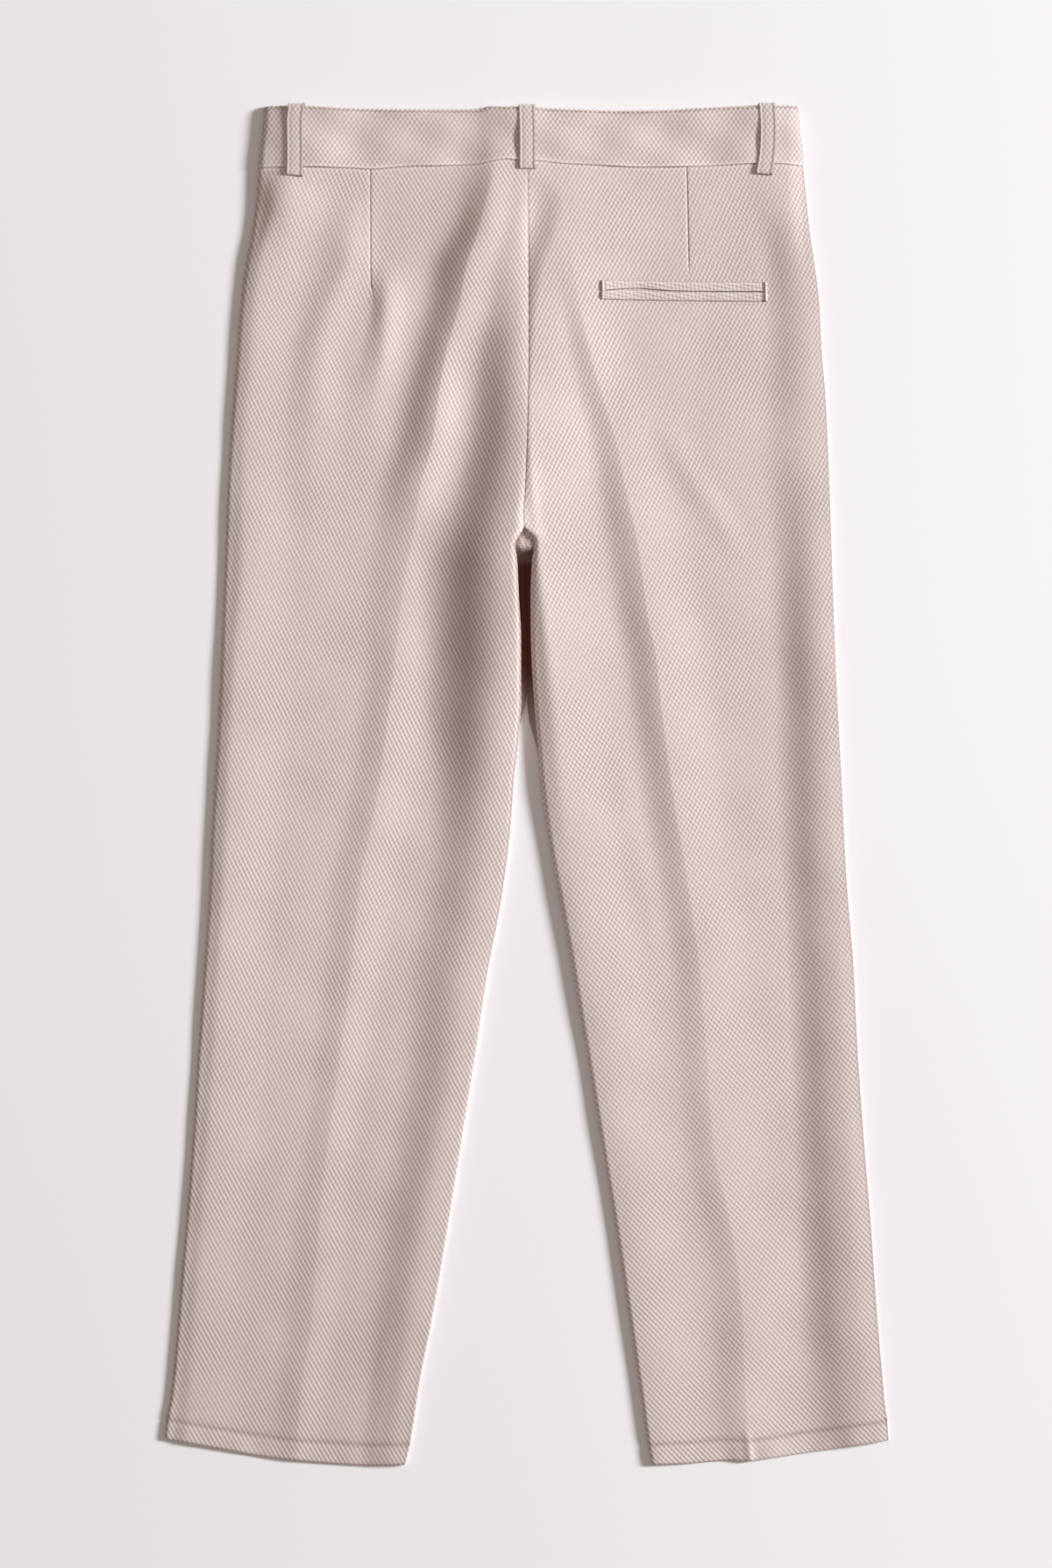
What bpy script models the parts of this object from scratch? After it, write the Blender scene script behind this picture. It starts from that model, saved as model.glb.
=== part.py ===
"""Suit trousers laid flat on a surface, back side up, at their real size.

The frame has +X to the right and +Y towards the waist as the trousers are looked down on, and +Z up. The
origin is below the middle of the garment, on the surface that it lies on. Sizes are in millimetres, as a
maker would state them, and become metres when a piece is made. "down" is the distance below the highest
point of the waist, measured along the garment. Photo left is the wearer's left, because the back is up.
"""

import math
from collections import namedtuple

import bmesh
import bpy
from mathutils import Vector
from mathutils.bvhtree import BVHTree

MM = 0.001

# Driving sizes, in millimetres.
HIGHEST = -0.32  # the top of the highest belt loop
LOWEST = 1003.5  # the lowest point of the hem
CENTRE_X = -0.47  # middle of the garment's width, from its centre-back line
SEAM_GAP = 0.3  # between pieces that are sewn edge to edge or lie on each other
CLOTH = 2.0  # wall of the panels
BAND_CLOTH = 2.6  # wall of the back waistband, two layers with a stiffener
INNER_TOP = 5.8  # the inside of the back never rises above this, so that it lies on the front
SEAM_HEIGHT = CLOTH + SEAM_GAP  # where the back meets the front, along the side seams and the inseams
EDGE_RADIUS = 5.2  # of the roll of cloth along a side seam or an inseam
WAIST = 47.0  # waist seam, on average
BACK_FORK = 313.5  # where the two legs part, on the back
FRONT_FORK = 330.0  # and on the front, which reaches further down
SIDE_HEM = 984.0  # hem at the side seam
INNER_HEM = 1003.5  # hem at the inseam

Edge = namedtuple("Edge", "down x")
Line = namedtuple("Line", "x down")
Body = namedtuple("Body", "down flat side_crest inner_crest inner_width")
Fold = namedtuple("Fold", "down x height left right")
LoopRow = namedtuple("LoopRow", "down x")
Stand = namedtuple("Stand", "from_seam from_top stand")
Welt = namedtuple("Welt", "share lift")

# The outline, seen from above: side seams and inseams down each leg.
LEFT_SIDE = [
    Edge(47, -198),
    Edge(92, -203),
    Edge(150, -211),
    Edge(214.5, -215.5),
    Edge(285.5, -220.5),
    Edge(414.5, -225.5),
    Edge(569.5, -233.5),
    Edge(666, -240),
    Edge(763, -246),
    Edge(827.5, -251),
    Edge(892, -256.5),
    Edge(956.5, -263),
    Edge(984, -267),
]
RIGHT_SIDE = [
    Edge(47, 204),
    Edge(93, 208.5),
    Edge(150, 216),
    Edge(214.5, 220),
    Edge(343.5, 225),
    Edge(492, 231.5),
    Edge(569.5, 235.5),
    Edge(666, 242),
    Edge(763, 248.5),
    Edge(827.5, 253.5),
    Edge(892, 258),
    Edge(956.5, 263.5),
    Edge(976, 266.5),
    Edge(985, 266),
]
CENTRE_BACK = [Edge(47, 1), Edge(181, 1.5), Edge(247, 0), Edge(298.5, -2), Edge(313.5, -2.5)]
LEFT_INSEAM = [
    Edge(313.5, -2.5),
    Edge(319, -7),
    Edge(324.5, -9),
    Edge(337, -7),
    Edge(363, -6),
    Edge(395.5, -4),
    Edge(440.5, -4),
    Edge(472.5, -6.5),
    Edge(498.5, -9.5),
    Edge(530.5, -11.5),
    Edge(569.5, -16),
    Edge(634, -27.5),
    Edge(763, -47.5),
    Edge(892, -69),
    Edge(943.5, -79),
    Edge(990.5, -86.5),
    Edge(1003.5, -89.5),
]
RIGHT_INSEAM = [
    Edge(313.5, -2.5),
    Edge(319, 3),
    Edge(324.5, 4.5),
    Edge(337, 3),
    Edge(363, 2.5),
    Edge(395.5, 3),
    Edge(440.5, 5),
    Edge(472.5, 8),
    Edge(498.5, 10.5),
    Edge(530.5, 14.5),
    Edge(569.5, 21),
    Edge(634, 33),
    Edge(698.5, 44),
    Edge(763, 55),
    Edge(827.5, 65.5),
    Edge(892, 75),
    Edge(943.5, 83),
    Edge(988.5, 89.5),
    Edge(1003.5, 92.5),
]
LEFT_HEM = [
    Line(-267, 984),
    Line(-233, 990.5),
    Line(-200.5, 996),
    Line(-148.5, 1001.5),
    Line(-111, 1003.5),
    Line(-89.5, 1003),
]
RIGHT_HEM = [
    Line(92.5, 1003),
    Line(116, 1002),
    Line(149, 999.5),
    Line(171.5, 999.5),
    Line(208.5, 994),
    Line(235, 990),
    Line(266, 985),
]
WAIST_SEAM = [
    Line(-198, 48),
    Line(-129.5, 48),
    Line(-116, 49),
    Line(-87.5, 47),
    Line(-37, 45.5),
    Line(-27, 43.5),
    Line(-15, 42),
    Line(8.5, 43),
    Line(25, 44.5),
    Line(60, 47),
    Line(86, 48),
    Line(118, 47.5),
    Line(169, 45),
    Line(183.5, 45),
    Line(204, 46),
]
WAIST_TOP = [
    Line(-193.5, 3.5),
    Line(-187.5, 1.5),
    Line(-162, 1.5),
    Line(-129.5, 3),
    Line(-78, 4),
    Line(-36, 4),
    Line(-26, 2),
    Line(-9, 2.5),
    Line(7, 3),
    Line(42.5, 4.5),
    Line(70.5, 5),
    Line(129, 3),
    Line(169, 1.5),
    Line(196.5, 1),
    Line(200, 3),
]
LEFT_BAND_END = [Edge(2, -193.2), Edge(14.5, -194), Edge(34, -196.5), Edge(47, -198)]
RIGHT_BAND_END = [Edge(2, 199.8), Edge(22.5, 201.5), Edge(39, 203.5), Edge(47, 204)]

# How high the back lies: its flat parts, and the rolls along the side seam and the inseam.
BODY = [
    Body(47, flat=7.5, side_crest=8.5, inner_crest=7.6, inner_width=40),
    Body(130, flat=7.2, side_crest=8.4, inner_crest=7.6, inner_width=42),
    Body(230, flat=6.7, side_crest=8.1, inner_crest=7.9, inner_width=48),
    Body(330, flat=6.2, side_crest=7.7, inner_crest=8.6, inner_width=60),
    Body(450, flat=5.5, side_crest=7.3, inner_crest=8.4, inner_width=58),
    Body(560, flat=5.1, side_crest=7.0, inner_crest=7.6, inner_width=46),
    Body(700, flat=4.8, side_crest=6.7, inner_crest=7.0, inner_width=40),
    Body(850, flat=4.7, side_crest=6.3, inner_crest=6.5, inner_width=38),
    Body(1003, flat=4.6, side_crest=5.7, inner_crest=5.8, inner_width=32),
]
SIDE_WIDTH = 44.0  # of the roll along a side seam
CREST_SHARE = 0.36  # where a roll is highest, as a share of its width from the edge
BAND_SHARES = (0.0, 0.12, 0.4, 0.7, 1.0)  # rows of the waistband, from its top edge to its seam
BAND_RISE = 0.8  # the waistband stands this much prouder than the panel
BAND_MOST = 8.8  # height of the waistband at its highest

# The pressed creases and the largest folds: x along each, its height and the width of its two flanks.
LEFT_CREASE = [
    Fold(20, -21, 0.9, 22, 14),
    Fold(63, -27.5, 1.0, 22, 18),
    Fold(124.5, -46, 1.3, 24, 26),
    Fold(182.5, -60, 1.7, 24, 28),
    Fold(247, -73.5, 2.0, 26, 30),
    Fold(324.5, -91, 2.1, 26, 30),
    Fold(414.5, -106.5, 1.7, 26, 28),
    Fold(518, -116.5, 1.2, 26, 24),
    Fold(634, -132, 1.0, 24, 24),
    Fold(763, -149, 0.9, 24, 24),
    Fold(892, -164, 0.9, 24, 24),
    Fold(1003, -172, 0.8, 24, 24),
]
RIGHT_CREASE = [
    Fold(60, 22, 0.0, 24, 24),
    Fold(92, 28.5, 0.5, 24, 24),
    Fold(137.5, 43, 1.0, 24, 26),
    Fold(208, 62, 1.5, 26, 28),
    Fold(285.5, 74, 1.7, 26, 28),
    Fold(363, 86.5, 1.7, 26, 28),
    Fold(440.5, 100.5, 1.5, 26, 26),
    Fold(524.5, 113, 1.2, 24, 24),
    Fold(614.5, 126.5, 1.0, 24, 24),
    Fold(698.5, 133.5, 0.9, 24, 24),
    Fold(795, 142.5, 0.8, 24, 24),
    Fold(892, 157.5, 0.8, 24, 24),
    Fold(1003, 167.5, 0.7, 24, 24),
]
LEFT_HIP_FOLD = [
    Fold(50, -125, 0.0, 22, 24),
    Fold(95, -133, 0.8, 22, 26),
    Fold(150, -150, 1.0, 22, 26),
    Fold(215, -161, 0.8, 22, 26),
    Fold(300, -166, 0.0, 22, 26),
]
RIGHT_HIP_FOLD = [
    Fold(120, 170, 0.0, 20, 20),
    Fold(165, 178, 0.6, 20, 22),
    Fold(230, 176, 0.6, 20, 22),
    Fold(330, 180, 0.0, 20, 22),
]
RIGHT_THIGH_FOLD = [
    Fold(240, 100, 0.0, 24, 24),
    Fold(300, 122, 0.6, 24, 24),
    Fold(400, 140, 0.5, 24, 24),
    Fold(470, 150, 0.0, 24, 24),
]
LEFT_FOLDS = (LEFT_CREASE, LEFT_HIP_FOLD)
RIGHT_FOLDS = (RIGHT_CREASE, RIGHT_HIP_FOLD, RIGHT_THIGH_FOLD)

# How far each column of a panel's edge lies from that edge, and from the crease in the middle.
EDGE_COLUMNS = (0.0, 0.8, 2.4, EDGE_RADIUS, 10.0, 20.0, 34.0)
CREASE_COLUMNS = (9.0, 22.0)
PANEL_ROWS = (
    47, 62, 88, 128, 168, 208, 248, 285, 304, 313.5, 319, 324.5, 337, 363, 395.5, 440.5, 485, 530.5,
    569.5, 634, 700, 763, 827.5, 892, 943.5, 985, 1003.5,
)  # fmt: skip
FRONT_ROWS = (
    47, 55, 65, 82, 130, 200, 270, 318, 330, 337, 350, 363, 395.5, 440.5, 485, 530.5, 569.5, 634,
    700, 763, 827.5, 892, 943.5, 985, 1003.5,
)  # fmt: skip
FRONT_EDGE_COLUMNS = (0.0, 0.8, 2.4, EDGE_RADIUS)
FRONT_MIDDLE_COLUMNS = 13

# Belt loops: folded strips, sewn down at the foot and over the band's top edge.
LOOP_WIDTH = 12.0
LOOP_CLOTH = 1.6
TURN_CLOTH = 1.1  # where the loop is turned over the band's top edge
TURN_POINTS = 2
LOOP_STAND = 1.5  # space for a belt between the loop and the band, when flat
LOOP_FOOT = 3.5
LOOP_COLUMNS = 5
LOOP_FOOT_CLEAR = 0.4  # under the loop's foot, where it is sewn to the panel
LOOP_TURN_CLEAR = 0.4  # between the turned end and the band's top edge
LOOP_PATH = [  # over the band: distances from the waist seam and from the top edge, and the stand above it
    Stand(from_seam=1.4, from_top=None, stand=1.0),
    Stand(from_seam=7.0, from_top=None, stand=LOOP_STAND),
    Stand(from_seam=22.0, from_top=None, stand=LOOP_STAND),
    Stand(from_seam=None, from_top=9.0, stand=LOOP_STAND),
    Stand(from_seam=None, from_top=3.0, stand=1.1),
    Stand(from_seam=None, from_top=0.6, stand=0.5),
]
BACK_LOOPS = {
    "left": [LoopRow(0.5, -169.7), LoopRow(14.5, -171.5), LoopRow(53.5, -171.5)],
    "centre": [LoopRow(2, -0.3), LoopRow(27.5, 0.5), LoopRow(49, 0.5)],
    "right": [LoopRow(0, 176.3), LoopRow(21, 177.7), LoopRow(34, 177), LoopRow(52.5, 174.6)],
}
FRONT_LOOP_X = 105.0
FRONT_LOOP_FOOT = 53.0
FRONT_LOOP_LIFT = 2.4  # the front rides over its loops by this much
LIFT_HALF = 22.0  # half the width that is lifted all the way: a loop, and a panel's column on each side
LIFT_RAMP = 16.0
FRONT_DROP = 2.0  # the front's top edge lies this much below the back's

# The back pocket, on the wearer's right: two welts that meet at the slit.
POCKET_LEFT = 56.5
POCKET_RIGHT = 175.0
POCKET_TOP = [Line(56.5, 129.3), Line(120.5, 130.5), Line(175, 131.5)]
POCKET_SLIT = [Line(56.5, 137.6), Line(77, 136.6), Line(94.5, 138), Line(175, 139)]
POCKET_BOTTOM = [Line(56.5, 145.4), Line(120.5, 145.8), Line(175, 146.1)]
WELT_CLOTH = 1.2
WELT_LIP = 0.35  # half the slit between the welts
WELT_CLEAR = 0.35  # under a welt, above the panel
WELT_SECTION = [  # from the seam to the lip: share of the way and thickness there
    Welt(0.0, 0.55),
    Welt(0.12, 0.95),
    Welt(0.5, WELT_CLOTH),
    Welt(0.86, WELT_CLOTH - 0.05),
    Welt(1.0, 0.7),
]
WELT_COLUMNS = 14

# The fly and the waist fastening, inside the closed front.
BAND_FRONT = 2.0  # wall of the front waistband
TAB_END = 30.0  # the left front's waistband reaches this far over the right one
LEFT_LAP = (10.0, 20.0, TAB_END)
RIGHT_LAP = (-3.0, -8.0)
TAB_LIFT = 3.3  # the right one rises over the tab and the hook
TAB_RAMP = 22.0
ZIP_LENGTH = 176.0
ZIP_TOP = 52.0
ZIP_WIDTH = 26.0
ZIP_TAPE = 0.8
SLIDER = (8.0, 11.0, 1.8)
SLIDER_DOWN = 2.0  # below the tape's top
SLIDER_CORNER = 1.5
PULL = (5.5, 20.0, 1.0)
PULL_CORNER = 2.0
HOOK = (10.0, 11.0, 0.7)
BAR = (5.0, 13.0, 0.7)
HOOK_CORNER = 1.2
HOOK_X = 14.0
BAR_X = 22.5
HOOK_DOWN = 25.0

# Colours from the photo, linear.
CLOTH_COLOUR = (0.60, 0.50, 0.47, 1)
LOOP_COLOUR = (0.63, 0.53, 0.50, 1)
TAPE_COLOUR = (0.52, 0.43, 0.40, 1)
STEEL_COLOUR = (0.55, 0.55, 0.56, 1)


class Smooth:
    """A smooth line through the rows of a short table. It never swings past its rows."""

    def __init__(self, rows, along, value):
        self.at = [getattr(row, along) for row in rows]
        self.values = [getattr(row, value) for row in rows]
        steps = [
            (self.values[i + 1] - self.values[i]) / (self.at[i + 1] - self.at[i])
            for i in range(len(rows) - 1)
        ]
        inner = [2 * a * b / (a + b) if a * b > 0 else 0.0 for a, b in zip(steps, steps[1:])]
        self.slopes = [steps[0], *inner, steps[-1]]

    def __call__(self, position):
        if position <= self.at[0]:
            return self.values[0]
        if position >= self.at[-1]:
            return self.values[-1]
        i = max(k for k in range(len(self.at) - 1) if self.at[k] <= position)
        span = self.at[i + 1] - self.at[i]
        t = (position - self.at[i]) / span
        return (
            self.values[i] * (1 + 2 * t) * (1 - t) ** 2
            + self.slopes[i] * span * t * (1 - t) ** 2
            + self.values[i + 1] * t * t * (3 - 2 * t)
            + self.slopes[i + 1] * span * t * t * (t - 1)
        )


def eased(t):
    """0 to 1, level at both ends."""
    t = min(max(t, 0.0), 1.0)
    return t * t * (3 - 2 * t)


def roll(distance, radius=EDGE_RADIUS):
    """A quarter circle: 0 at the edge and 1 from the radius on."""
    t = 1 - min(max(distance / radius, 0.0), 1.0)
    return math.sqrt(1 - t * t)


def hump(distance, width):
    """0 at an edge, 1 at a roll's crest, and 0 again at its width."""
    crest = width * CREST_SHARE
    if distance < crest:
        return math.sin(distance / crest * math.pi / 2)
    return 1 - eased((distance - crest) / (width - crest))


class FoldLine:
    """One crease or fold: a ridge along a line, with a flank on each side."""

    def __init__(self, rows):
        self.first, self.last = rows[0].down, rows[-1].down
        self.x = Smooth(rows, "down", "x")
        self.height = Smooth(rows, "down", "height")
        self.left = Smooth(rows, "down", "left")
        self.right = Smooth(rows, "down", "right")

    def rise(self, x, down):
        offset = x - self.x(down)
        width = self.left(down) if offset < 0 else self.right(down)
        away = min(abs(offset) / width, 1.0)
        return self.height(down) * (1 - away) ** 2 * (1 + away)


class Leg:
    """The outline and the height of one half of the trousers, from the waist to the hem."""

    def __init__(self, side, inseam, hem, folds, fork):
        self.side = Smooth(side, "down", "x")
        self.centre = Smooth(CENTRE_BACK, "down", "x")
        self.inseam = Smooth(inseam, "down", "x")
        self.hem = Smooth(hem, "x", "down")
        self.sign = 1 if hem[0].x > 0 else -1
        self.folds = [FoldLine(rows) for rows in folds]
        self.crease = self.folds[0].x
        self.fork = fork

    def parted(self, down):
        """0 where the halves are sewn together, 1 where the inseam is an edge of its own."""
        return eased((down - self.fork) / 11.0)

    def inner(self, down):
        """x of the inner edge: half a seam's gap from the centre seam, or the inseam."""
        if down <= self.fork:
            return self.centre(min(down, BACK_FORK)) + self.sign * SEAM_GAP / 2
        if self.fork <= BACK_FORK:
            return self.inseam(down) + self.sign * SEAM_GAP / 2
        apart = eased((down - self.fork) / 7.0)
        centre = self.centre(BACK_FORK) + self.sign * SEAM_GAP / 2
        return centre + (self.inseam(down) - centre) * apart

    def height(self, x, down):
        """Height of the back's outer face, before its edges roll down."""
        side, inner = abs(x - self.side(down)), abs(x - self.inner(down))
        flat = BODY_FLAT(down)
        side_roll = (BODY_SIDE(down) - flat) * hump(side, SIDE_WIDTH)
        inner_roll = (BODY_INNER(down) - flat) * hump(inner, BODY_WIDTH(down))
        parted = self.parted(down)
        sewn = (1 - parted) * (BODY_INNER(down) - flat) * (1 - eased(inner / BODY_WIDTH(down)))
        return flat + side_roll + parted * inner_roll + sewn + sum(f.rise(x, down) for f in self.folds)

    def line(self, share):
        """The two ends of a row across the leg, at a share of the way from waist to hem."""
        side_down = WAIST + share * (SIDE_HEM - WAIST)
        inner_down = WAIST + share * (INNER_HEM - WAIST)
        return (self.side(side_down), side_down), (self.inner(inner_down), inner_down)


BODY_FLAT = Smooth(BODY, "down", "flat")
BODY_SIDE = Smooth(BODY, "down", "side_crest")
BODY_INNER = Smooth(BODY, "down", "inner_crest")
BODY_WIDTH = Smooth(BODY, "down", "inner_width")
SEAM = Smooth(WAIST_SEAM, "x", "down")
TOP = Smooth(WAIST_TOP, "x", "down")
BAND_LEFT = Smooth(LEFT_BAND_END, "down", "x")
BAND_RIGHT = Smooth(RIGHT_BAND_END, "down", "x")


def material(name, colour, roughness=0.85, metallic=0.0):
    made = bpy.data.materials.new(name)
    made.use_nodes = True
    shader = made.node_tree.nodes["Principled BSDF"]
    shader.inputs["Base Color"].default_value = colour
    shader.inputs["Roughness"].default_value = roughness
    shader.inputs["Metallic"].default_value = metallic
    return made


def place(x, down, z):
    """A point of the garment, in metres in the part's frame."""
    return Vector(((x - CENTRE_X) * MM, ((HIGHEST + LOWEST) / 2 - down) * MM, z * MM))


def finished(name, bm, made_of):
    """The bmesh as an object with this name, faces outwards, shaded smooth but for its sharp edges."""
    bmesh.ops.recalc_face_normals(bm, faces=bm.faces)
    if bm.calc_volume(signed=True) < 0:
        bmesh.ops.reverse_faces(bm, faces=bm.faces)
    mesh = bpy.data.meshes.new(name)
    bm.to_mesh(mesh)
    bm.free()
    mesh.shade_smooth()
    mesh.set_sharp_from_angle(angle=math.radians(50))
    mesh.materials.append(made_of)
    piece = bpy.data.objects.new(name, mesh)
    bpy.context.scene.collection.objects.link(piece)
    return piece


def wall(name, outer, inner, made_of):
    """A closed wall between two matching grids of points, each a list of rows of (x, down, z)."""
    bm = bmesh.new()
    faces_of = []
    for grid in (outer, inner):
        rows = [[bm.verts.new(place(*point)) for point in row] for row in grid]
        for above, below in zip(rows, rows[1:]):
            for i in range(len(above) - 1):
                bm.faces.new((above[i], above[i + 1], below[i + 1], below[i]))
        faces_of.append(rows)
    outside, inside = faces_of
    rims = [
        (outside[0], inside[0]),
        (outside[-1], inside[-1]),
        ([row[0] for row in outside], [row[0] for row in inside]),
        ([row[-1] for row in outside], [row[-1] for row in inside]),
    ]
    for out_rim, in_rim in rims:
        for i in range(len(out_rim) - 1):
            bm.faces.new((out_rim[i], out_rim[i + 1], in_rim[i + 1], in_rim[i]))
    return finished(name, bm, made_of)


def plate(name, x, down, z, size, made_of, corner=0.0):
    """A flat plate with its lowest face at z. Its corners are rounded where a radius is given."""
    bm = bmesh.new()
    bmesh.ops.create_cube(bm, size=1.0)
    bmesh.ops.scale(bm, vec=Vector(size) * MM, verts=bm.verts)
    bmesh.ops.translate(bm, vec=place(x, down, z + size[2] / 2), verts=bm.verts)
    if corner:
        upright = [e for e in bm.edges if abs((e.verts[0].co - e.verts[1].co).z) > size[2] * MM / 2]
        bmesh.ops.bevel(
            bm, geom=upright, offset=corner * MM, segments=4, profile=0.5, affect="EDGES", material=-1
        )
    return finished(name, bm, made_of)


class Probe:
    """Reads the height of pieces that are already made, so that what lies on them is made from their faces."""

    def __init__(self, *pieces):
        self.trees = []
        for piece in pieces:
            bm = bmesh.new()
            bm.from_mesh(piece.data)
            self.trees.append(BVHTree.FromBMesh(bm))
            bm.free()

    def top(self, x, down):
        """Height of the highest face at this place, or None beside the pieces."""
        start = place(x, down, 100.0)
        found = [tree.ray_cast(start, Vector((0, 0, -1)))[0] for tree in self.trees]
        return max((hit.z / MM for hit in found if hit), default=None)


def panel_columns(width, to_crease):
    """Distances from the side seam to each column of a row, close together at both edges and the crease."""
    side_scale = min(1.0, to_crease * 0.6 / EDGE_COLUMNS[-1])
    to_inner = width - to_crease
    inner_scale = min(1.0, to_inner * 0.6 / EDGE_COLUMNS[-1])
    side = [d * side_scale for d in EDGE_COLUMNS]
    inner = [width - d * inner_scale for d in EDGE_COLUMNS]
    near = [d * min(1.0, to_inner * 0.2 / CREASE_COLUMNS[-1]) for d in CREASE_COLUMNS]
    crease = [to_crease - near[1], to_crease - near[0], to_crease, to_crease + near[0], to_crease + near[1]]
    fill_side = [side[-1] + (crease[0] - side[-1]) * k / 4 for k in (1, 2, 3)]
    fill_inner = [crease[-1] + (inner[-1] - crease[-1]) * k / 3 for k in (1, 2)]
    return side + fill_side + crease + fill_inner + inner[::-1]


def row_points(leg, share, distances):
    """(x, down, share of the way across) of each column of a row, bent to the waist seam and the hem at its ends."""
    (side_x, side_down), (inner_x, inner_down) = leg.line(share)
    width = abs(inner_x - side_x)
    to_waist, to_hem = 1 - eased(share / 0.12), eased((share - 0.88) / 0.12)
    points = []
    for distance in distances:
        across = distance / width
        x = side_x + (inner_x - side_x) * across
        straight = side_down + (inner_down - side_down) * across
        down = straight + to_waist * (SEAM(x) + SEAM_GAP / 2 - straight) + to_hem * (leg.hem(x) - straight)
        points.append((x, down))
    return points, width


def edge_normal(leg, points, heights, i, parted):
    """Outward direction (x, z) of a section at a point: sideways at a rolled edge and up at a sewn one."""
    before, after = max(i - 1, 0), min(i + 1, len(points) - 1)
    tangent = Vector((points[after][0] - points[before][0], heights[after] - heights[before]))
    up = Vector((-tangent.y, tangent.x)).normalized()
    up = -up if up.y < 0 else up
    if i == 0:
        up = Vector((leg.sign, 0))
    elif i == len(points) - 1:
        up = Vector((-leg.sign * parted, 1 - parted)).normalized()
    return up


def back_panel(name, leg, made_of):
    """A back panel: its outer face from the outline and the folds, and its inner face a wall's thickness in."""
    outer, inner = [], []
    for down in PANEL_ROWS:
        share = (down - WAIST) / (INNER_HEM - WAIST)
        (side_x, side_down), (inner_x, inner_down) = leg.line(share)
        width = abs(inner_x - side_x)
        middle = (side_down + inner_down) / 2
        columns = panel_columns(width, abs(leg.crease(middle) - side_x))
        points, width = row_points(leg, share, columns)
        parted = leg.parted(inner_down)
        heights = []
        for distance, (x, y) in zip(columns, points):
            full = leg.height(x, y)
            side_end = SEAM_HEIGHT + (full - SEAM_HEIGHT) * roll(distance)
            inner_end = full + (SEAM_HEIGHT - full) * parted * (1 - roll(width - distance))
            heights.append(min(side_end, inner_end))
        normals = [edge_normal(leg, points, heights, i, parted) for i in range(len(points))]
        outer.append([(x, y, z) for (x, y), z in zip(points, heights)])
        inner.append(
            [
                (x - n.x * CLOTH, y, max(min(z - n.y * CLOTH, INNER_TOP), SEAM_HEIGHT))
                for (x, y), z, n in zip(points, heights, normals)
            ]
        )
    return wall(name, outer, inner, made_of)


def front_lift(x, down):
    """How far the front rides up over the belt loops below it."""
    beside = 1 - eased((abs(abs(x) - FRONT_LOOP_X) - LIFT_HALF) / LIFT_RAMP)
    below = 1 - eased((down - FRONT_LOOP_FOOT - 2.0) / (2 * LIFT_RAMP))
    return FRONT_LOOP_LIFT * beside * below


def front_columns(width):
    """Distances from the side seam: close together at both edges, and evenly across."""
    first, last = FRONT_EDGE_COLUMNS[-1], width - FRONT_EDGE_COLUMNS[-1]
    step = (last - first) / FRONT_MIDDLE_COLUMNS
    across = [first + step * k for k in range(1, FRONT_MIDDLE_COLUMNS)]
    return [*FRONT_EDGE_COLUMNS, *across, *[width - d for d in reversed(FRONT_EDGE_COLUMNS)]]


def front_panel(name, leg, made_of):
    """A front panel: flat on the surface, with its edges turned up to meet the back's."""
    outer, inner = [], []
    for down in FRONT_ROWS:
        share = (down - WAIST) / (INNER_HEM - WAIST)
        (side_x, _), (inner_x, inner_down) = leg.line(share)
        columns = front_columns(abs(inner_x - side_x))
        points, width = row_points(leg, share, columns)
        parted = leg.parted(inner_down)
        low, high = [], []
        for distance, (x, y) in zip(columns, points):
            side, inside = 1 - roll(distance), (1 - roll(width - distance)) * parted
            z = front_lift(x, y) + CLOTH * max(side, inside)
            inset = CLOTH * (side - inside) * -leg.sign
            low.append((x, y, z))
            high.append((x + inset, y, z + CLOTH * (1 - max(side, inside))))
        outer.append(low)
        inner.append(high)
    return wall(name, outer, inner, made_of)


def band_height(x, down):
    """Height of the back waistband: the panel's below it, a little prouder."""
    leg = LEFT if x < 0 else RIGHT
    return min(leg.height(x, max(down, WAIST)) + BAND_RISE, BAND_MOST)


def waist_columns(leg, columns):
    """x of each column of a panel's top row, from the side seam to the centre."""
    (side_x, _), (inner_x, _) = leg.line(0.0)
    width = abs(inner_x - side_x)
    distances = columns(width, leg)
    return [side_x + (inner_x - side_x) * d / width for d in distances]


def band_row(share, xs, drop=0.0):
    """Points along the waistband at a share of its depth: (x, down, distance to the side edge, sign of that side)."""
    down = share * WAIST
    left, right = BAND_LEFT(down), BAND_RIGHT(down)
    points = []
    for seam_x in xs:
        end, seam_end = (left, BAND_LEFT(WAIST)) if seam_x < 0 else (right, BAND_RIGHT(WAIST))
        x = seam_x * end / seam_end
        top = TOP(x) + drop
        points.append((x, top + share * (SEAM(x) - SEAM_GAP / 2 - top), abs(end - x), 1 if end > 0 else -1))
    return points


def back_band(name, made_of):
    """The waistband across the back, a little prouder than the panels, with its side edges rolled down."""

    def columns(width, leg):
        return panel_columns(width, abs(leg.crease(WAIST) - leg.side(WAIST)))

    xs = waist_columns(LEFT, columns) + waist_columns(RIGHT, columns)[-2::-1]
    outer, inner = [], []
    for share in BAND_SHARES:
        out_row, in_row = [], []
        for x, down, side, sign in band_row(share, xs):
            z = SEAM_HEIGHT + (band_height(x, down) - SEAM_HEIGHT) * roll(side)
            turned = 1 - roll(side)
            under = z - BAND_CLOTH * (1 - turned)
            out_row.append((x, down, z))
            in_row.append((x - sign * BAND_CLOTH * turned, down, max(min(under, INNER_TOP), SEAM_HEIGHT)))
        outer.append(out_row)
        inner.append(in_row)
    return wall(name, outer, inner, made_of)


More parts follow.
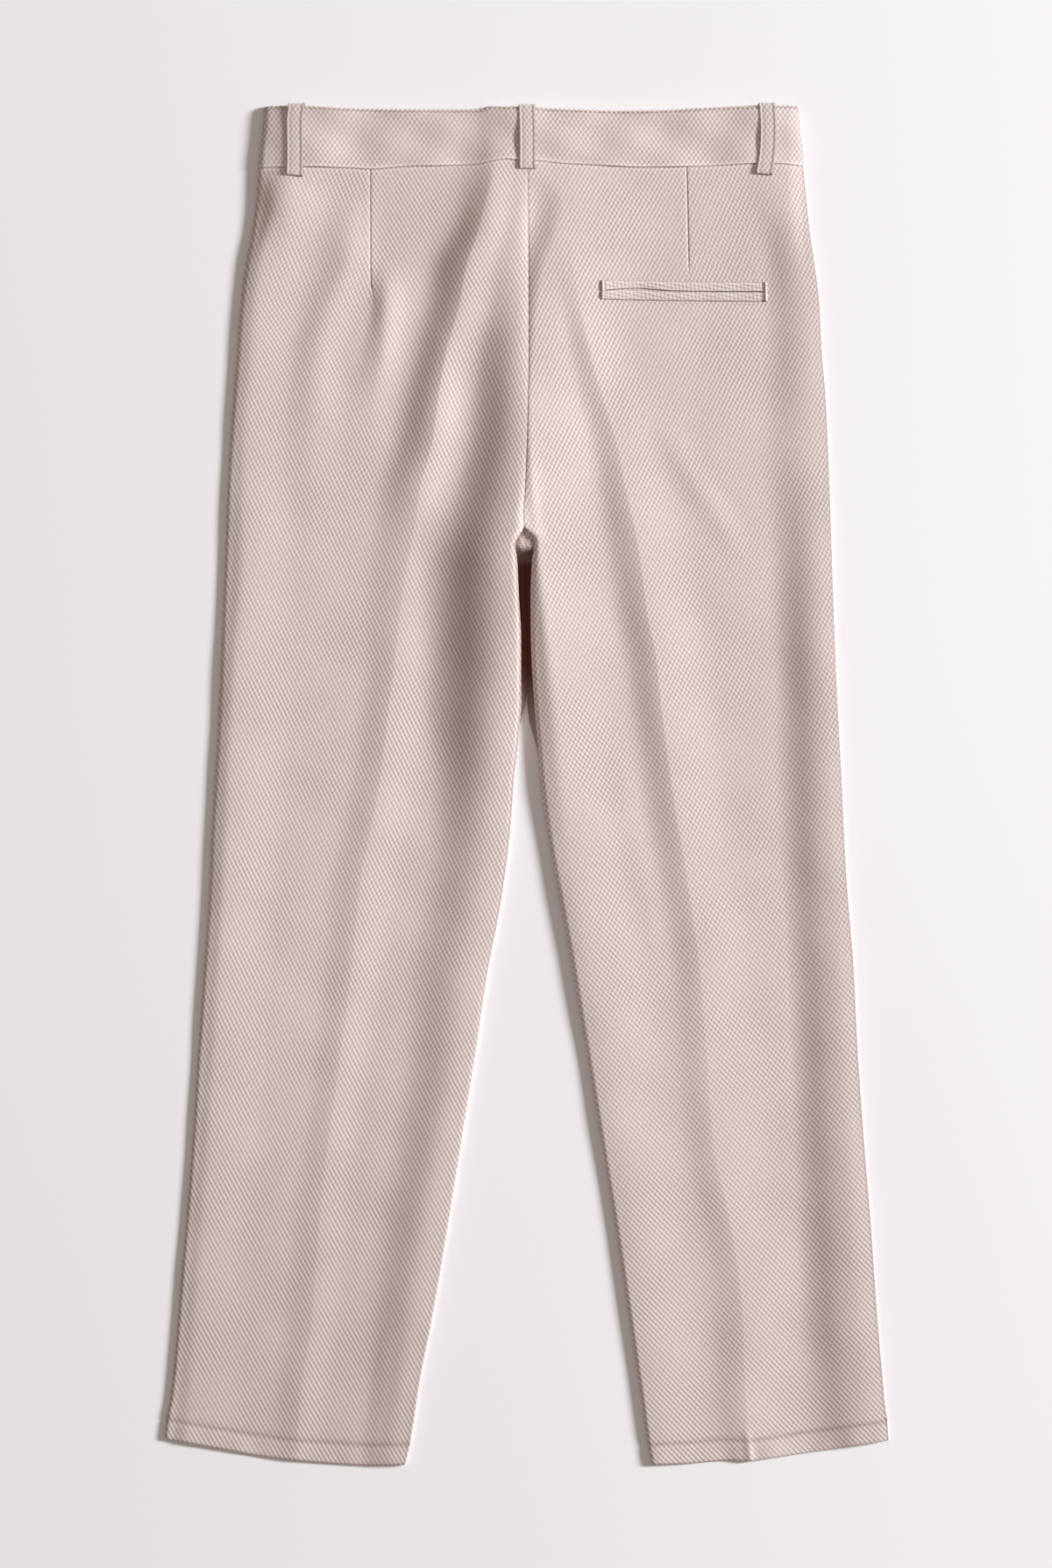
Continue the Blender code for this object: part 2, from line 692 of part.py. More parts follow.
def front_band(name, leg, lap, made_of):
    """Half of the front waistband. The left one ends in the tab and the right one rises over it."""

    def columns(width, _):
        return front_columns(width)

    xs = waist_columns(leg, columns) + list(lap)
    low_rows, high_rows = [], []
    for share in BAND_SHARES:
        low, high = [], []
        for x, down, side, sign in band_row(share, xs, FRONT_DROP):
            turned = 1 - roll(side)
            over_tab = TAB_LIFT * (1 - eased((x - TAB_END - 1.0) / TAB_RAMP)) if leg.sign > 0 else 0.0
            z = max(over_tab, front_lift(x, down)) + BAND_FRONT * turned
            low.append((x, down, z))
            high.append((x - sign * BAND_FRONT * turned, down, z + BAND_FRONT * (1 - turned)))
        low_rows.append(low)
        high_rows.append(high)
    return wall(name, low_rows, high_rows, made_of)


def loop_strip(name, columns, made_of):
    """A belt loop from its path at each column across it: lists of (x, down, z) on the side that faces the band."""
    outer = []
    for path in columns:
        raised = []
        for i, (x, down, z) in enumerate(path):
            before, after = path[max(i - 1, 0)], path[min(i + 1, len(path) - 1)]
            along = Vector((after[1] - before[1], after[2] - before[2])).normalized()
            thick = TURN_CLOTH if i >= len(path) - TURN_POINTS else LOOP_CLOTH
            raised.append((x, down + along.y * thick, z - along.x * thick))
        outer.append(raised)
    return wall(name, outer, columns, made_of)


def back_loop(name, rows, panels, band, made_of):
    """A loop on the back: sewn below the waist seam, clear of the band, and turned over its top edge."""
    line = Smooth(rows, "down", "x")
    foot = rows[-1].down
    columns = []
    for k in range(LOOP_COLUMNS):
        offset = LOOP_WIDTH * (k / (LOOP_COLUMNS - 1) - 0.5)
        x = line(WAIST) + offset
        top, seam = TOP(line(0) + offset), SEAM(x)
        path = []
        for down in (foot, foot - LOOP_FOOT, seam + 1.2):
            at = line(down) + offset
            path.append((at, down, panels.top(at, down) + LOOP_FOOT_CLEAR))
        for row in LOOP_PATH:
            down = seam - row.from_seam if row.from_top is None else top + row.from_top
            at = line(down) + offset
            path.append((at, down, band.top(at, down) + row.stand))
        at = line(top) + offset
        edge = band.top(at, top + 0.3)
        for depth in (-0.3, BAND_CLOTH - 0.2):
            path.append((at, top - LOOP_TURN_CLEAR, edge - depth))
        columns.append(path)
    return loop_strip(name, columns, made_of)


def front_loop(name, x_middle, made_of):
    """A loop on the front, flat on the surface, under the band that rides over it.

    It is made upside down, as a loop on the back is, and then turned over.
    """
    columns = []
    for k in range(LOOP_COLUMNS):
        x = x_middle + LOOP_WIDTH * (k / (LOOP_COLUMNS - 1) - 0.5)
        top = TOP(x) + FRONT_DROP
        flat = (FRONT_LOOP_FOOT, FRONT_LOOP_FOOT - LOOP_FOOT, WAIST - 5, WAIST / 2, top + 6)
        path = [(x, down, -LOOP_CLOTH) for down in flat]
        path.append((x, top + 1.0, -LOOP_CLOTH - 0.1))
        for depth in (-0.3, BAND_FRONT - 0.2):
            path.append((x, top - LOOP_TURN_CLEAR, -FRONT_LOOP_LIFT - depth))
        columns.append(path)
    strip = loop_strip(name, columns, made_of)
    for vertex in strip.data.vertices:
        vertex.co.z = -vertex.co.z
    strip.data.flip_normals()
    return strip


def welt(name, seam_line, lip_line, panel, made_of):
    """One welt: a bias strip on the panel from its seam to the slit, with a rounded lip there."""
    seam, lip = Smooth(seam_line, "x", "down"), Smooth(lip_line, "x", "down")
    outer, inner = [], []
    for share, lift in WELT_SECTION:
        out_row, in_row = [], []
        for k in range(WELT_COLUMNS + 1):
            x = POCKET_LEFT + (POCKET_RIGHT - POCKET_LEFT) * k / WELT_COLUMNS
            down = seam(x) + (lip(x) - seam(x)) * share
            under = panel.top(x, down) + WELT_CLEAR
            out_row.append((x, down, under + lift))
            in_row.append((x, down, under))
        outer.append(out_row)
        inner.append(in_row)
    return wall(name, outer, inner, made_of)


def moved(rows, by):
    return [Line(row.x, row.down + by) for row in rows]


LEFT = Leg(LEFT_SIDE, LEFT_INSEAM, LEFT_HEM, LEFT_FOLDS, BACK_FORK)
RIGHT = Leg(RIGHT_SIDE, RIGHT_INSEAM, RIGHT_HEM, RIGHT_FOLDS, BACK_FORK)
LEFT_FRONT = Leg(LEFT_SIDE, LEFT_INSEAM, LEFT_HEM, LEFT_FOLDS, FRONT_FORK)
RIGHT_FRONT = Leg(RIGHT_SIDE, RIGHT_INSEAM, RIGHT_HEM, RIGHT_FOLDS, FRONT_FORK)


def build_shell(cloth):
    """The panels and the waistband."""
    backs = [back_panel("back_left", LEFT, cloth), back_panel("back_right", RIGHT, cloth)]
    front_panel("front_left", LEFT_FRONT, cloth)
    front_panel("front_right", RIGHT_FRONT, cloth)
    band = back_band("waistband_back", cloth)
    front_band("waistband_front_left", LEFT_FRONT, LEFT_LAP, cloth)
    front_band("waistband_front_right", RIGHT_FRONT, RIGHT_LAP, cloth)
    return backs, band


def build_loops(backs, band, cloth):
    panels, band_top = Probe(*backs), Probe(band)
    for side, rows in BACK_LOOPS.items():
        back_loop(f"belt_loop_back_{side}", rows, panels, band_top, cloth)
    front_loop("belt_loop_front_left", -FRONT_LOOP_X, cloth)
    front_loop("belt_loop_front_right", FRONT_LOOP_X, cloth)


def build_pocket(panel, cloth):
    probe = Probe(panel)
    welt("pocket_welt_upper", POCKET_TOP, moved(POCKET_SLIT, -WELT_LIP), probe, cloth)
    welt("pocket_welt_lower", POCKET_BOTTOM, moved(POCKET_SLIT, WELT_LIP), probe, cloth)


def build_fastenings(tape, steel):
    """The closed zip and the hook and bar, between the layers of the front."""
    tape_z = CLOTH + SEAM_GAP
    metal_z = tape_z + ZIP_TAPE + SEAM_GAP
    plate("zip_tape", 0, ZIP_TOP + ZIP_LENGTH / 2, tape_z, (ZIP_WIDTH, ZIP_LENGTH, ZIP_TAPE), tape)
    slider_top = ZIP_TOP + SLIDER_DOWN
    plate("zip_slider", 0, slider_top + SLIDER[1] / 2, metal_z, SLIDER, steel, SLIDER_CORNER)
    pull_top = slider_top + SLIDER[1] + SEAM_GAP
    plate("zip_pull", 0, pull_top + PULL[1] / 2, metal_z, PULL, steel, PULL_CORNER)
    plate("waist_hook", HOOK_X, HOOK_DOWN, BAND_FRONT + SEAM_GAP, HOOK, steel, HOOK_CORNER)
    plate("waist_bar", BAR_X, HOOK_DOWN, BAND_FRONT + SEAM_GAP, BAR, steel, HOOK_CORNER)


def main():
    for old in list(bpy.data.objects):
        bpy.data.objects.remove(old)
    cloth = material("suiting", CLOTH_COLOUR)
    loop_cloth = material("suiting_loops", LOOP_COLOUR)
    tape = material("zip_tape", TAPE_COLOUR)
    steel = material("steel", STEEL_COLOUR, roughness=0.35, metallic=1.0)
    backs, band = build_shell(cloth)
    build_loops(backs, band, loop_cloth)
    build_pocket(backs[1], cloth)
    build_fastenings(tape, steel)


main()
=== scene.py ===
"""Suit trousers laid flat, back side up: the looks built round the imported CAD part.

Sizes are millimetres on the laid garment: x from the centre back towards the right, down from the
waistband's top edge towards the hems, and height above the surface that it lies on.
"""

import logging
import math
from collections.abc import Callable, Sequence
from dataclasses import dataclass
from enum import Enum
from typing import NamedTuple

import bmesh
import bpy
import numpy as np
from mathutils import Matrix, Vector


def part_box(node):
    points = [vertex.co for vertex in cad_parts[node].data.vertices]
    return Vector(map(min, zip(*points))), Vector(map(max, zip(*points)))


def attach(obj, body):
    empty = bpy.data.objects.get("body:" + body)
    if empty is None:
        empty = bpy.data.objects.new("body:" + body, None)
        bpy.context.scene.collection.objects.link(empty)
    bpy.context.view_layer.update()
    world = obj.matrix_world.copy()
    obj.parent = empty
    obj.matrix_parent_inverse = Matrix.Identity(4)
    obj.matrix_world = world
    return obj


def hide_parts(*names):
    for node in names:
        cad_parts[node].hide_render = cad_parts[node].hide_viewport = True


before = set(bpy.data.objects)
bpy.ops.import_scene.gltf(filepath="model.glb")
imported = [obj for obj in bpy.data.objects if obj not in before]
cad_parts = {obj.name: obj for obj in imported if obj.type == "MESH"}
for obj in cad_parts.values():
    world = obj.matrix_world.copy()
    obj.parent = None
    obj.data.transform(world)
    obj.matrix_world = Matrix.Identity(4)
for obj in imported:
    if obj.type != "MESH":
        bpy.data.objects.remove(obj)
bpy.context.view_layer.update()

log = logging.getLogger("trousers")
Numbers = np.ndarray

MM = 0.001
CENTRE_X = -0.47
CENTRE_DOWN = 501.59
CLOTH = 1.0  # wall of the suiting
SEAM_HEIGHT = 1.15  # where the back's folded edge meets the front's
WAIST = 47.0  # the waist seam, on average
BACK_FORK = 313.5
FRONT_FORK = 332.0
GARMENT = 1010.0  # a little more than its whole length
SETTLING = 4  # rounds that settle a sheet's points between its edges
HEM_ROW = 15.5  # from the hem's edge up to its stitches


# ---------------------------------------------------------------- lines and folds


class Along:
    """A smooth line through given points that never overshoots them, read at many places at once."""

    def __init__(self, points: Sequence[Sequence[float]]) -> None:
        """Keeps the points and works out the slope at each.

        Args:
            points: Pairs of place and value, in rising order of place.
        """
        self.at = np.array([p[0] for p in points], float)
        self.value = np.array([p[1] for p in points], float)
        step = np.diff(self.at)
        rise = np.diff(self.value) / step
        slope = np.zeros(len(self.at))
        slope[0], slope[-1] = rise[0], rise[-1]
        same = rise[:-1] * rise[1:] > 0
        total = np.where(same, rise[:-1] + rise[1:], 1.0)
        slope[1:-1] = np.where(same, 2 * rise[:-1] * rise[1:] / total, 0.0)
        self.slope = slope

    def __call__(self, place: Numbers | float) -> Numbers:
        """Reads the line.

        Args:
            place: Where to read it; beyond its ends it keeps its end value.

        Returns:
            The value at each place.
        """
        x = np.clip(np.asarray(place, float), self.at[0], self.at[-1])
        i = np.clip(np.searchsorted(self.at, x, side="right") - 1, 0, len(self.at) - 2)
        h = self.at[i + 1] - self.at[i]
        t = (x - self.at[i]) / h
        return (
            (2 * t**3 - 3 * t**2 + 1) * self.value[i]
            + (t**3 - 2 * t**2 + t) * h * self.slope[i]
            + (3 * t**2 - 2 * t**3) * self.value[i + 1]
            + (t**3 - t**2) * h * self.slope[i + 1]
        )


class Fold(NamedTuple):
    """The columns of a fold's table: its ridge, how high it stands and how wide its flanks are."""

    down: float
    x: float
    height: float
    left: float
    right: float


def eased(share: Numbers) -> Numbers:
    """A rise from 0 to 1 that starts and ends level."""
    t = np.clip(share, 0.0, 1.0)
    return t * t * (3 - 2 * t)


def fading(value: Numbers, start: Numbers | float, over: float) -> Numbers:
    """Falls smoothly from 1 at a start to 0 past it."""
    return 1 - eased((value - start) / over)


def bead(distance: Numbers, middle: float, width: float) -> Numbers:
    """A soft line, 1 along its middle and close to 0 two widths beside it."""
    return np.exp(-(((distance - middle) / width) ** 2))


def pits(distance: Numbers, pitch: float) -> Numbers:
    """A wave between 0 and 1, highest where a row's stitches go down into the cloth."""
    return 0.5 + 0.5 * np.cos(math.tau * distance / pitch)


def rounded(share: Numbers) -> Numbers:
    """A quarter round: 0 with an upright start, 1 and level at the end."""
    t = np.clip(share, 0.0, 1.0)
    return np.sqrt(np.maximum(0.0, 1 - (1 - t) ** 2))


class FoldLine:
    """A fold in the cloth that runs down the garment."""

    def __init__(self, rows: Sequence[Sequence[float]], peaked: float = 0.25) -> None:
        """Keeps the fold's lines.

        Args:
            rows: The fold from its top to its end, each row with a Fold's columns.
            peaked: How sharp its ridge is, from 0, rounded, to 1, a pressed crease.
        """
        folds = [Fold(*row) for row in rows]
        self.x = Along([(fold.down, fold.x) for fold in folds])
        self.height = Along([(fold.down, fold.height) for fold in folds])
        self.left = Along([(fold.down, fold.left) for fold in folds])
        self.right = Along([(fold.down, fold.right) for fold in folds])
        self.peaked = peaked

    def __call__(self, x: Numbers, down: Numbers) -> Numbers:
        """How much the fold lifts the cloth at each point.

        Args:
            x: Across the garment.
            down: Down the garment.

        Returns:
            The rise at each point.
        """
        ridge = self.x(down)
        left = 1 - (ridge - x) / self.left(down)
        right = 1 - (x - ridge) / self.right(down)
        share = np.clip(np.where(x < ridge, left, right), 0.0, 1.0)
        return self.height(down) * ((1 - self.peaked) * eased(share) + self.peaked * share**2)


def ripple(x: Numbers, down: Numbers) -> Numbers:
    """A faint unevenness of pressed cloth, between about -1 and 1.

    Args:
        x: Across the garment.
        down: Down the garment.

    Returns:
        The unevenness at each point.
    """
    waves = (  # turns across, turns down and start, in radians
        (0.061, 0.017, 0.3),
        (-0.043, 0.052, 1.7),
        (0.024, -0.071, 4.1),
        (0.118, 0.033, 2.2),
        (-0.085, 0.094, 5.6),
    )
    return sum(np.sin(a * x + b * down + c) for a, b, c in waves) / 3.2


# ---------------------------------------------------------------- outline of the laid garment

LEFT_SIDE = Along(
    [
        (47, -198), (66, -199), (92, -202), (118, -207), (150, -211), (182, -213.5), (215, -216),
        (250, -218.5), (286, -220.5), (344, -222.5), (376, -223.8), (414, -225.5), (453, -227.3),
        (492, -229.5), (530, -231.8), (570, -233.6), (595, -235), (666, -239.8), (698, -242),
        (763, -246.1), (827, -251.2), (853, -253.5), (892, -256.7), (930, -259.8), (943, -261.2),
        (956, -262.9), (969, -265.4), (984, -267),
    ]
)  # fmt: skip
RIGHT_SIDE = Along(
    [
        (47, 203.6), (53, 204.2), (69, 205.8), (93, 208.3), (118, 212), (146, 215.4), (181, 217.2),
        (215, 220), (286, 223.2), (344, 225.1), (415, 227.7), (492, 231.6), (569, 235.4),
        (634, 240.6), (698, 243.8), (763, 248.3), (827, 253.5), (892, 258), (944, 262.5),
        (956, 263.5), (969, 265.4), (985, 266.5),
    ]
)  # fmt: skip
CENTRE_BACK = [(47, 1.0), (181, 1.3), (247, 0.0), (286, -1.5), (305, -2.6), (BACK_FORK, -2.2)]
LEFT_INNER = Along(
    CENTRE_BACK
    + [
        (318, -5.6), (325, -8.2), (337, -7.0), (363, -5.8), (395.5, -4.2), (440.5, -4.2),
        (472.5, -6.5), (498.5, -9.4), (530.5, -11.6), (569.5, -16.1), (602, -21.3), (634, -27.7),
        (698, -37.4), (763, -47.7), (827, -58), (892, -69), (943.5, -79), (968, -82.7),
        (990.5, -86.4), (1003.5, -89.6),
    ]
)  # fmt: skip
RIGHT_INNER = Along(
    CENTRE_BACK
    + [
        (318, 3.4), (323, 4.9), (337, 3.7), (363, 2.6), (395.5, 2.9), (440.5, 5.2),
        (472.5, 7.9), (492, 9.4), (505, 10.8), (530.5, 14.3), (569.5, 21), (595, 25.9),
        (634, 33.2), (672, 39.5), (698.5, 44.2), (763, 54.8), (827.5, 65.4), (892, 75.2),
        (931, 81), (956, 84.7), (995, 90.4), (1003.5, 92.4),
    ]
)  # fmt: skip
LEFT_HEM = Along(
    [(-267, 984), (-246, 988), (-233, 990.2), (-200.5, 995.8), (-179, 999), (-148.5, 1001.6),
     (-111, 1003.5), (-89.6, 1003.1)]
)  # fmt: skip
RIGHT_HEM = Along(
    [(92.4, 1003.2), (116, 1002.2), (149, 999.6), (161, 1000.6), (171.5, 999.4), (208.5, 993.8),
     (235, 990), (257, 986.8), (266.5, 985)]
)  # fmt: skip
WAIST_SEAM = Along(
    [
        (-198, 48), (-190, 47.6), (-162, 47.3), (-129.5, 48.2), (-116, 49), (-87.5, 47),
        (-54, 46.3), (-37, 45.6), (-27, 43.6), (-15, 42), (-7, 42.6), (8.5, 43.2), (25, 45),
        (60, 46.8), (86, 47.8), (118, 47.2), (146, 46.3), (169, 45.1), (183.5, 45.2), (204, 47),
    ]
)  # fmt: skip
WAIST_TOP = Along(
    [
        (-193.5, 2.6), (-187.5, 1.5), (-162, 1.5), (-129.5, 3.1), (-78, 4.1), (-36, 4.1),
        (-26, 1.8), (-9, 2.3), (7, 2.9), (42.5, 4.4), (70.5, 5), (103, 4.6), (129, 3.1),
        (169, 1.5), (197, 1.2), (200, 2.2),
    ]
)  # fmt: skip
LEFT_BAND_END = Along([(1, -192.6), (6, -193.8), (14.5, -194.2), (34, -196.7), (49, -198)])
RIGHT_BAND_END = Along([(1, 198.6), (5, 200), (22.5, 201.6), (39, 203.8), (47, 203.6)])


# ---------------------------------------------------------------- how the cloth lies

LIE = Along([(0, 3.0), (47, 3.0), (230, 2.8), (450, 2.6), (700, 2.5), (1003, 2.35)])
WAIST_RISE = Along(
    [(-198, 0.4), (-188, 1.4), (-174, 2.8), (-160, 2.8), (-120, 2.2), (-90, 2.4), (-52, 2.8),
     (-39, 3.6), (-24, 4.9), (-10, 5.1), (20, 4.2), (60, 3.6), (100, 3.3), (140, 3.6),
     (175, 3.9), (192, 3.7), (204, 2.4)]
)  # fmt: skip
WAIST_FADE = 105.0  # how far down the waist's rise runs out

LEFT_SIDE_ROLL = FoldLine(
    [
        (47, -185, 0.0, 12, 42), (73, -184, 1.9, 14, 42), (118, -196, 1.6, 12, 40),
        (182, -202, 1.2, 12, 35), (250, -207, 1.0, 11, 36), (344, -209, 1.3, 12, 42),
        (440, -216, 1.4, 12, 44), (569, -222, 1.4, 12, 42), (698, -229, 1.0, 12, 40),
        (1000, -251, 0.7, 12, 40),
    ],
    peaked=0.0,
)  # fmt: skip
LEFT_HIP_FOLD = FoldLine(
    [
        (60, -124, 0.0, 22, 24), (92, -130, 0.9, 22, 24), (118, -133, 1.5, 22, 26),
        (150, -146, 1.3, 20, 26), (182, -155, 1.4, 20, 22), (215, -157, 1.0, 22, 24),
        (275, -160, 0.5, 24, 26), (344, -160, 0.0, 24, 26),
    ]
)  # fmt: skip
LEFT_DART_FOLD = FoldLine(
    [
        (118, -103, 0.0, 14, 18), (150, -104, 1.9, 13, 20), (182, -106, 1.5, 18, 16),
        (215, -112, 0.5, 22, 16), (255, -114, 0.0, 20, 16),
    ]
)  # fmt: skip
LEFT_CREASE = FoldLine(
    [
        (47, -24, 0.6, 22, 15), (73, -30, 1.7, 22, 22), (99, -37, 2.6, 23, 24), (118, -44, 2.9, 27, 24),
        (150, -50, 3.0, 28, 27), (182, -59, 3.1, 27, 28), (215, -65, 3.4, 27, 29),
        (247, -69, 3.2, 30, 30), (286, -79, 2.4, 32, 34), (315, -83, 1.8, 32, 37),
        (344, -89, 1.6, 30, 38), (376, -93.5, 1.6, 28, 38), (408, -97, 1.7, 24, 34),
        (440, -101, 1.8, 23, 32), (505, -109, 1.6, 24, 32), (569, -122, 1.3, 24, 30),
        (634, -129, 1.1, 22, 26), (698, -137, 1.0, 20, 24), (763, -146, 1.0, 20, 24),
        (827, -153, 0.9, 22, 24), (892, -158, 0.9, 22, 22), (956, -167, 0.9, 20, 20),
        (1003, -170, 0.7, 20, 20),
    ],
    peaked=0.22,
)  # fmt: skip
LEFT_INNER_RISE = FoldLine(
    [
        (47, -6, 0.0, 60, 40), (73, -10, 1.4, 62, 40), (99, -12, 2.6, 62, 40), (118, -12, 3.2, 62, 40),
        (150, -8, 3.8, 64, 40), (182, -6, 4.6, 52, 40), (215, -2, 5.3, 52, 40), (247, -1, 5.9, 58, 40),
        (286, 1, 7.0, 68, 40), (315, -5, 8.4, 76, 60), (344, -11, 9.2, 70, 60), (376, -11, 9.1, 70, 60),
        (408, -15, 8.3, 67, 60), (440, -18, 7.2, 62, 60), (505, -24, 4.6, 46, 60),
        (569, -30, 3.2, 42, 60), (634, -43, 3.1, 46, 60), (698, -50, 3.0, 42, 60),
        (763, -61, 2.8, 40, 60), (827, -74, 2.6, 38, 60), (892, -82, 2.4, 36, 60),
        (956, -92, 1.7, 28, 60), (1003, -98, 1.2, 26, 60),
    ],
    peaked=0.0,
)  # fmt: skip
RIGHT_INNER_RISE = FoldLine(
    [
        (47, 12, 0, 20, 69), (73, 27, 1.7, 26, 71), (99, 21, 3.2, 24, 83), (118, 14, 3.5, 22, 80),
        (150, 8, 3.7, 20, 71), (182, 5, 4.3, 20, 70), (215, 3, 4.8, 20, 64), (247, 2, 4.6, 20, 67),
        (286, 2, 2.9, 20, 74), (315, 7, 1.6, 30, 72), (344, 9, 1.2, 30, 70), (376, 13, 1.2, 30, 70),
        (408, 17, 1.3, 30, 70), (440, 20, 1.6, 30, 66), (505, 25, 2.4, 30, 57), (569, 34, 2.2, 30, 54),
        (634, 46, 1.8, 30, 50), (698, 58, 1.4, 30, 45), (827, 79, 1.2, 30, 42),
        (1003, 102, 0.9, 30, 39),
    ],
    peaked=0.0,
)  # fmt: skip
RIGHT_INNER_SLOPE = FoldLine(
    [
        (215, 2, 0, 20, 50), (247, 2, 1.3, 20, 52), (286, 4, 2.6, 20, 56), (315, 7, 3.1, 30, 58),
        (344, 9, 3.3, 30, 60), (376, 12, 3.1, 30, 60), (408, 15, 2.7, 30, 58), (440, 18, 2.0, 30, 56),
        (505, 25, 0.6, 30, 50), (550, 30, 0, 30, 50),
    ],
    peaked=1.0,
)  # fmt: skip
RIGHT_CREASE = FoldLine(
    [
        (99, 30, 0, 16, 24), (150, 39, 0.7, 14, 30), (182, 46, 1.2, 17, 36), (215, 55, 1.3, 19, 40),
        (247, 65, 1.6, 21, 40), (286, 73, 1.9, 23, 42), (315, 79.5, 2.1, 24, 42),
        (344, 84.5, 2.3, 25, 42), (376, 88.5, 2.4, 25, 45), (408, 95, 2.4, 25, 45),
        (440, 98.5, 2.3, 25, 44), (505, 107, 1.9, 24, 42), (569, 117.5, 1.5, 23, 42),
        (634, 127, 1.3, 23, 42), (698, 132, 1.0, 24, 46), (763, 137, 1.1, 24, 50),
        (827, 150, 1.3, 22, 50), (892, 159, 1.3, 24, 46), (956, 161, 1.2, 24, 44),
        (1003, 166, 1.0, 24, 42),
    ],
    peaked=0.3,
)  # fmt: skip
RIGHT_SIDE_ROLL = FoldLine(
    [
        (47, 192, 0.2, 40, 70), (73, 194, 0.9, 34, 70), (99, 200, 2.0, 27, 70), (118, 204, 2.0, 26, 70),
        (150, 207, 1.8, 31, 70), (182, 209, 2.0, 33, 70), (247, 212, 1.8, 40, 70),
        (286, 213, 2.2, 38, 70), (344, 216, 2.9, 37, 70), (376, 218, 3.5, 38, 70),
        (408, 220, 3.9, 38, 70), (505, 224, 3.5, 41, 70), (569, 228, 3.5, 41, 70),
        (634, 232, 3.5, 41, 70), (763, 239, 3.7, 43, 70), (892, 247, 3.7, 47, 70),
        (1003, 254, 2.8, 48, 70),
    ],
    peaked=0.0,
)  # fmt: skip
RIGHT_THIGH_FOLD = FoldLine(
    [
        (225, 98, 0.0, 16, 18), (262, 112, 0.6, 16, 18), (305, 140, 0.6, 18, 20),
        (340, 158, 0.0, 18, 20),
    ]
)  # fmt: skip
RIGHT_KNEE_FOLD = FoldLine(
    [
        (470, 66, 0.0, 13, 14), (505, 72, 0.3, 13, 14), (560, 82, 0.35, 13, 14),
        (605, 91, 0.25, 13, 14), (660, 100, 0.0, 13, 14),
    ]
)  # fmt: skip

LEFT_HEM_FOLD = FoldLine(
    [
        (895, -102, 0.0, 6, 7), (925, -106, 0.35, 5, 6), (960, -109, 0.25, 5, 6),
        (992, -113, 0.3, 5, 6), (1003, -113, 0.2, 5, 6),
    ]
)  # fmt: skip
RIGHT_HEM_DENT = FoldLine(
    [
        (972, 160, 0.0, 5, 5), (988, 163, 0.5, 5, 5), (1003, 165, 0.7, 5, 5),
    ]
)  # fmt: skip

# Painted shade: how much the cloth's colour is darkened where light can't reach into a dip between
# folds.
LEFT_PAINTED_SHADE = (
    FoldLine(
        [
            (80, -47, 0.0, 16, 16), (118, -60, 0.24, 20, 18), (150, -65, 0.26, 18, 16),
            (182, -70, 0.28, 20, 16), (215, -80, 0.24, 20, 16), (247, -86, 0.24, 20, 18),
            (290, -98, 0.12, 22, 18), (340, -108, 0.0, 22, 18),
        ],
        peaked=0.0,
    ),
    FoldLine(
        [
            (120, -14, 0.0, 16, 16), (150, -18, 0.12, 18, 18), (182, -21, 0.32, 20, 20),
            (215, -23, 0.36, 20, 20), (247, -25, 0.42, 22, 22), (286, -32, 0.44, 28, 24),
            (315, -38, 0.46, 32, 24), (344, -43, 0.50, 36, 26), (376, -44, 0.50, 36, 26),
            (408, -44, 0.48, 34, 26), (440, -46, 0.44, 32, 26), (505, -50, 0.28, 30, 24),
            (569, -54, 0.16, 30, 20), (634, -62, 0.14, 26, 18), (763, -77, 0.14, 22, 16),
            (892, -96, 0.12, 20, 14), (1003, -108, 0.08, 18, 12),
        ],
        peaked=0.0,
    ),
)  # fmt: skip
RIGHT_PAINTED_SHADE = (
    FoldLine(
        [
            (90, 176, 0.0, 14, 14), (118, 184, 0.20, 14, 12), (150, 187, 0.12, 16, 12),
            (250, 192, 0.06, 18, 14), (344, 198, 0.16, 18, 14), (440, 201, 0.22, 18, 14),
            (634, 208, 0.18, 18, 14), (892, 220, 0.18, 20, 14), (1003, 232, 0.08, 20, 14),
        ],
        peaked=0.0,
    ),
    FoldLine(
        [
            (150, 34, 0.0, 10, 10), (182, 41, 0.10, 12, 10), (247, 57, 0.06, 14, 10),
            (344, 70, 0.10, 18, 12), (440, 88, 0.10, 16, 12), (569, 110, 0.05, 16, 12),
            (763, 125, 0.05, 16, 12), (1003, 150, 0.05, 16, 12),
        ],
        peaked=0.0,
    ),
)  # fmt: skip


class Side(Enum):
    """The two legs, as the photograph shows them."""

    LEFT = "left"
    RIGHT = "right"


